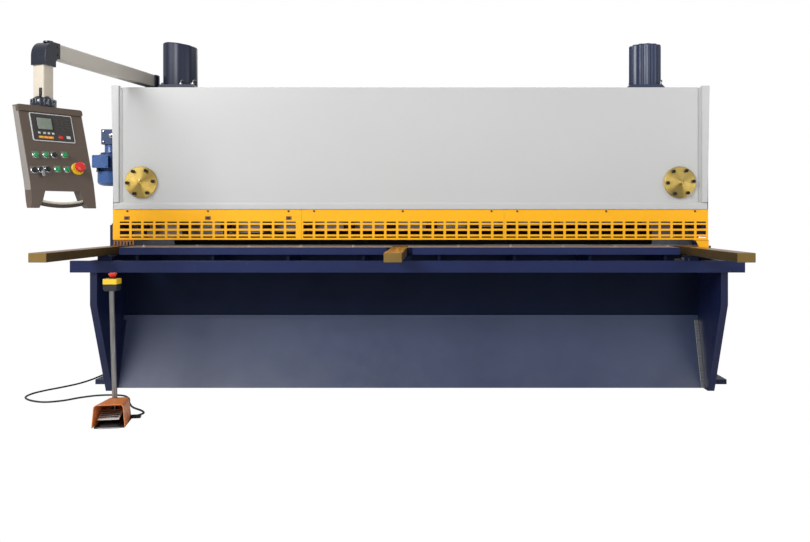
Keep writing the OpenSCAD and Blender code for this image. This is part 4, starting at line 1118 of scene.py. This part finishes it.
def makeGapMotor():
    g = gapMotor
    centre = (g["x"], g["y"])
    form = Form()
    form.turned([(84, g["top"] - 14), (84, g["top"]), (70, g["top"])], plan, centre, 0, 48)
    form.turned([(g["body"], g["bodyLow"]), (g["body"], g["top"] - 10)], plan, centre, 0, 48)
    for k in range(g["fins"]):
        turn = 2 * math.pi * k / g["fins"]
        place = placeAt((g["x"] * 0.001, g["y"] * 0.001, 0), (math.cos(turn), math.sin(turn), 0),
                        (-math.sin(turn), math.cos(turn), 0))
        form.prism(rect(g["body"] - 2, -1.5, g["finOut"], 1.5), g["bodyLow"] + 6, g["top"] - 20, place)
    edge = 30
    turns = np.radians(np.linspace(-90, 0, 7))
    profile = [(g["cover"] - edge + edge * math.cos(t), g["coverLow"] + edge + edge * math.sin(t)) for t in turns]
    form.turned(profile + [(g["cover"], g["bodyLow"] + 12), (g["cover"] - 3, g["bodyLow"] + 14)], plan, centre, 0, 64)
    for k in range(5):
        form.turned([(14 + k * 12, g["coverLow"] - 2), (14 + k * 12, g["coverLow"] + 2), (11 + k * 12, g["coverLow"] + 2)],
                    plan, centre, 1, 40)
    x0, x1, y0, y1, z0, z1 = g["box"]
    form.prism(softRect(x0, z0, x1, z1, 8), -y1, -y0 - 12, elevation, 0)
    form.prism(softRect(x0 - 3, z0 - 3, x1 + 3, z1 + 3, 9), -y0 - 11, -y0, elevation, 0)
    for x in (x0 + 8, x1 - 8):
        for z in (z0 + 8, z1 - 8):
            form.turned(headProfile(4, -y0 - 1, -y0 + 3, 2), elevation, (x, z), 1, 12)
    form.turned([(13, z0 - 30), (13, z0 - 22), (11, z0 - 20), (11, z0 - 2)], plan, (x0 + 30, y0 + 30), 1, 20)
    form.piece("gapMotor", ["blue", "black"], "frame", 0.0015, ("gap_motor",))


makeGapMotor()

# cabinet: hinges, a turning handle and vent louvres on its door
cabinet = {"x": -2.380, "back": 548, "front": -48, "low": 362, "high": 1138}


def makeCabinetTrim():
    c = cabinet
    door = placeAt((c["x"], 0, 0), (0, -1, 0), (0, 0, 1))
    form = Form()
    for z in (450, 750, 1050):
        form.turned([(9, z - 35), (9, z + 35)], plan, (c["x"] * 1000 - 2, c["back"] - 2), 0, 20)
        form.prism(rect(-c["back"] + 4, z - 22, -c["back"] + 34, z + 22), -1, 4, door)
    form.prism(softRect(14, 690, 40, 830, 8), -1, 7, door)
    form.turned(headProfile(12, 5, 22, 3), door, (27, 790), 0, 24)
    form.prism(softRect(19, 700, 35, 800, 6), 16, 26, door)
    for k in range(8):
        z = 430 + k * 24
        form.loft([lift(rect(-420, z, -140, z + 12), -1, door), lift(rect(-414, z, -146, z + 3), 9, door)], 1)
    form.piece("cabinetTrim", ["black", "navy"], "frame", 0.001)


makeCabinetTrim()

# back gauge: a fence strip along the bar's lower edge, with its screws
fence = {"half": 1895, "low": 955, "high": 1010, "back": -40, "thick": 6, "pitch": 379, "upperLow": 1094,
         "upperHigh": 1240, "upperBack": 66}


def makeFence():
    f = fence
    form = Form()
    form.prism(rect(-f["half"], f["low"], f["half"], f["high"]), f["back"], f["back"] + f["thick"], elevation)
    for k in range(-5, 6):
        form.turned(headProfile(7, f["back"] + 5, f["back"] + 11, 3), elevation, (k * f["pitch"] * 0.98, 995), 1, 12)
    form.prism(rect(-f["half"], f["upperLow"], f["half"], f["upperHigh"]), -f["upperBack"], f["thick"] - f["upperBack"],
               elevation)
    form.piece("gaugeFence", ["ram", "black"], "ram", 0.0008)


makeFence()

# oil tank and pump: lid bolts, a sight glass, a drain plug, the filler's cap and the motor's fins
tank = {"half": 550, "front": 150, "rear": 580, "low": 1495, "lid": 1985, "over": 15}


def makeTankTrim():
    t = tank
    form = Form()
    for x in np.linspace(-t["half"], t["half"], 7):
        for y in (t["front"], t["rear"]):
            form.turned(headProfile(8, t["lid"] - 1, t["lid"] + 7, 2), plan, (x, y), 0, 6)
    rear = placeAt((0, t["rear"] * 0.001, 0), (-1, 0, 0), (0, 0, 1))
    form.prism(softRect(-420, 1640, -380, 1880, 8), -1, 10, rear, 0)
    form.prism(softRect(-412, 1664, -388, 1856, 4), 0, 13, rear, 1)
    form.turned(headProfile(18, -1, 20, 3), rear, (0, 1530), 0, 6)
    filler = (t["half"] - 120, t["front"] + 100)
    form.turned(headProfile(46, t["lid"] + 62, t["lid"] + 92, 6), plan, filler, 0, 40)
    for k in range(24):
        turn = 2 * math.pi * k / 24
        centre = (filler[0] + 46 * math.cos(turn), filler[1] + 46 * math.sin(turn))
        form.turned([(3, t["lid"] + 66), (3, t["lid"] + 84)], plan, centre, 0, 8)
    form.piece("tankTrim", ["black", "glass"], "frame", 0.0008)
    fins = Form()
    for k in range(28):
        turn = 2 * math.pi * k / 28
        if math.cos(turn) * 0 + math.sin(turn) < -0.75:
            continue
        place = placeAt((-0.190, 0.365, 2.090), (0, math.cos(turn), math.sin(turn)), (0, -math.sin(turn), math.cos(turn)))
        fins.prism(rect(92, -1.6, 103, 1.6), 22, 300, place)
    fins.piece("pumpMotorFins", ["blue"], "frame", 0.0006)


makeTankTrim()
print("pieces made")


# floor, backdrop and light
def makeStage():
    floorFinish = Finish("floorPale")
    floorFinish.set(colour=(0.80, 0.80, 0.80, 1), rough=0.55)
    tree, shader = floorFinish.tree, floorFinish.shader
    white = tree.nodes.new("ShaderNodeEmission")
    white.inputs["Color"].default_value = (1, 1, 1, 1)
    mix = tree.nodes.new("ShaderNodeMixShader")
    seen = tree.nodes.new("ShaderNodeLightPath")
    out = tree.nodes["Material Output"]
    tree.links.new(seen.outputs["Is Camera Ray"], mix.inputs[0])
    tree.links.new(shader.outputs[0], mix.inputs[1])
    tree.links.new(white.outputs[0], mix.inputs[2])
    tree.links.new(mix.outputs[0], out.inputs[0])
    mesh = bpy.data.meshes.new("floor")
    half = 40.0
    mesh.from_pydata([(-half, -half, 0), (half, -half, 0), (half, half, 0), (-half, half, 0)], [], [(0, 1, 2, 3)])
    mesh.materials.append(floorFinish.material)
    floor = bpy.data.objects.new("floor", mesh)
    bpy.context.scene.collection.objects.link(floor)

    world = bpy.data.worlds.new("world")
    bpy.context.scene.world = world
    world.use_nodes = True
    back = world.node_tree.nodes["Background"]
    path = world.node_tree.nodes.new("ShaderNodeLightPath")
    scale = world.node_tree.nodes.new("ShaderNodeMapRange")
    scale.inputs["To Min"].default_value = 0.42
    scale.inputs["To Max"].default_value = 1.0
    world.node_tree.links.new(path.outputs["Is Camera Ray"], scale.inputs["Value"])
    world.node_tree.links.new(scale.outputs[0], back.inputs["Strength"])
    back.inputs["Color"].default_value = (1, 1, 1, 1)


lamps = [
    {"name": "keyLamp", "place": (-4.5, -7.0, 5.5), "aim": (0, -0.5, 1.0), "size": 4.0, "power": 560},
    {"name": "fillLamp", "place": (5.5, -5.5, 4.0), "aim": (0.5, 0, 1.0), "size": 4.0, "power": 120},
    {"name": "rearLamp", "place": (1.0, 6.0, 6.0), "aim": (0, 0, 1.2), "size": 5.0, "power": 260},
]


def makeLamps():
    for lamp in lamps:
        data = bpy.data.lights.new(lamp["name"], "AREA")
        data.energy = lamp["power"]
        data.size = lamp["size"]
        one = bpy.data.objects.new(lamp["name"], data)
        bpy.context.scene.collection.objects.link(one)
        start, end = np.array(lamp["place"]), np.array(lamp["aim"])
        one.location = lamp["place"]
        way = end - start
        one.rotation_euler = (
            math.acos(-way[2] / np.linalg.norm(way)), 0, math.atan2(-way[0], way[1])
        )


makeStage()
makeLamps()
bpy.context.scene.view_settings.view_transform = "Standard"
print("stage and lamps set")
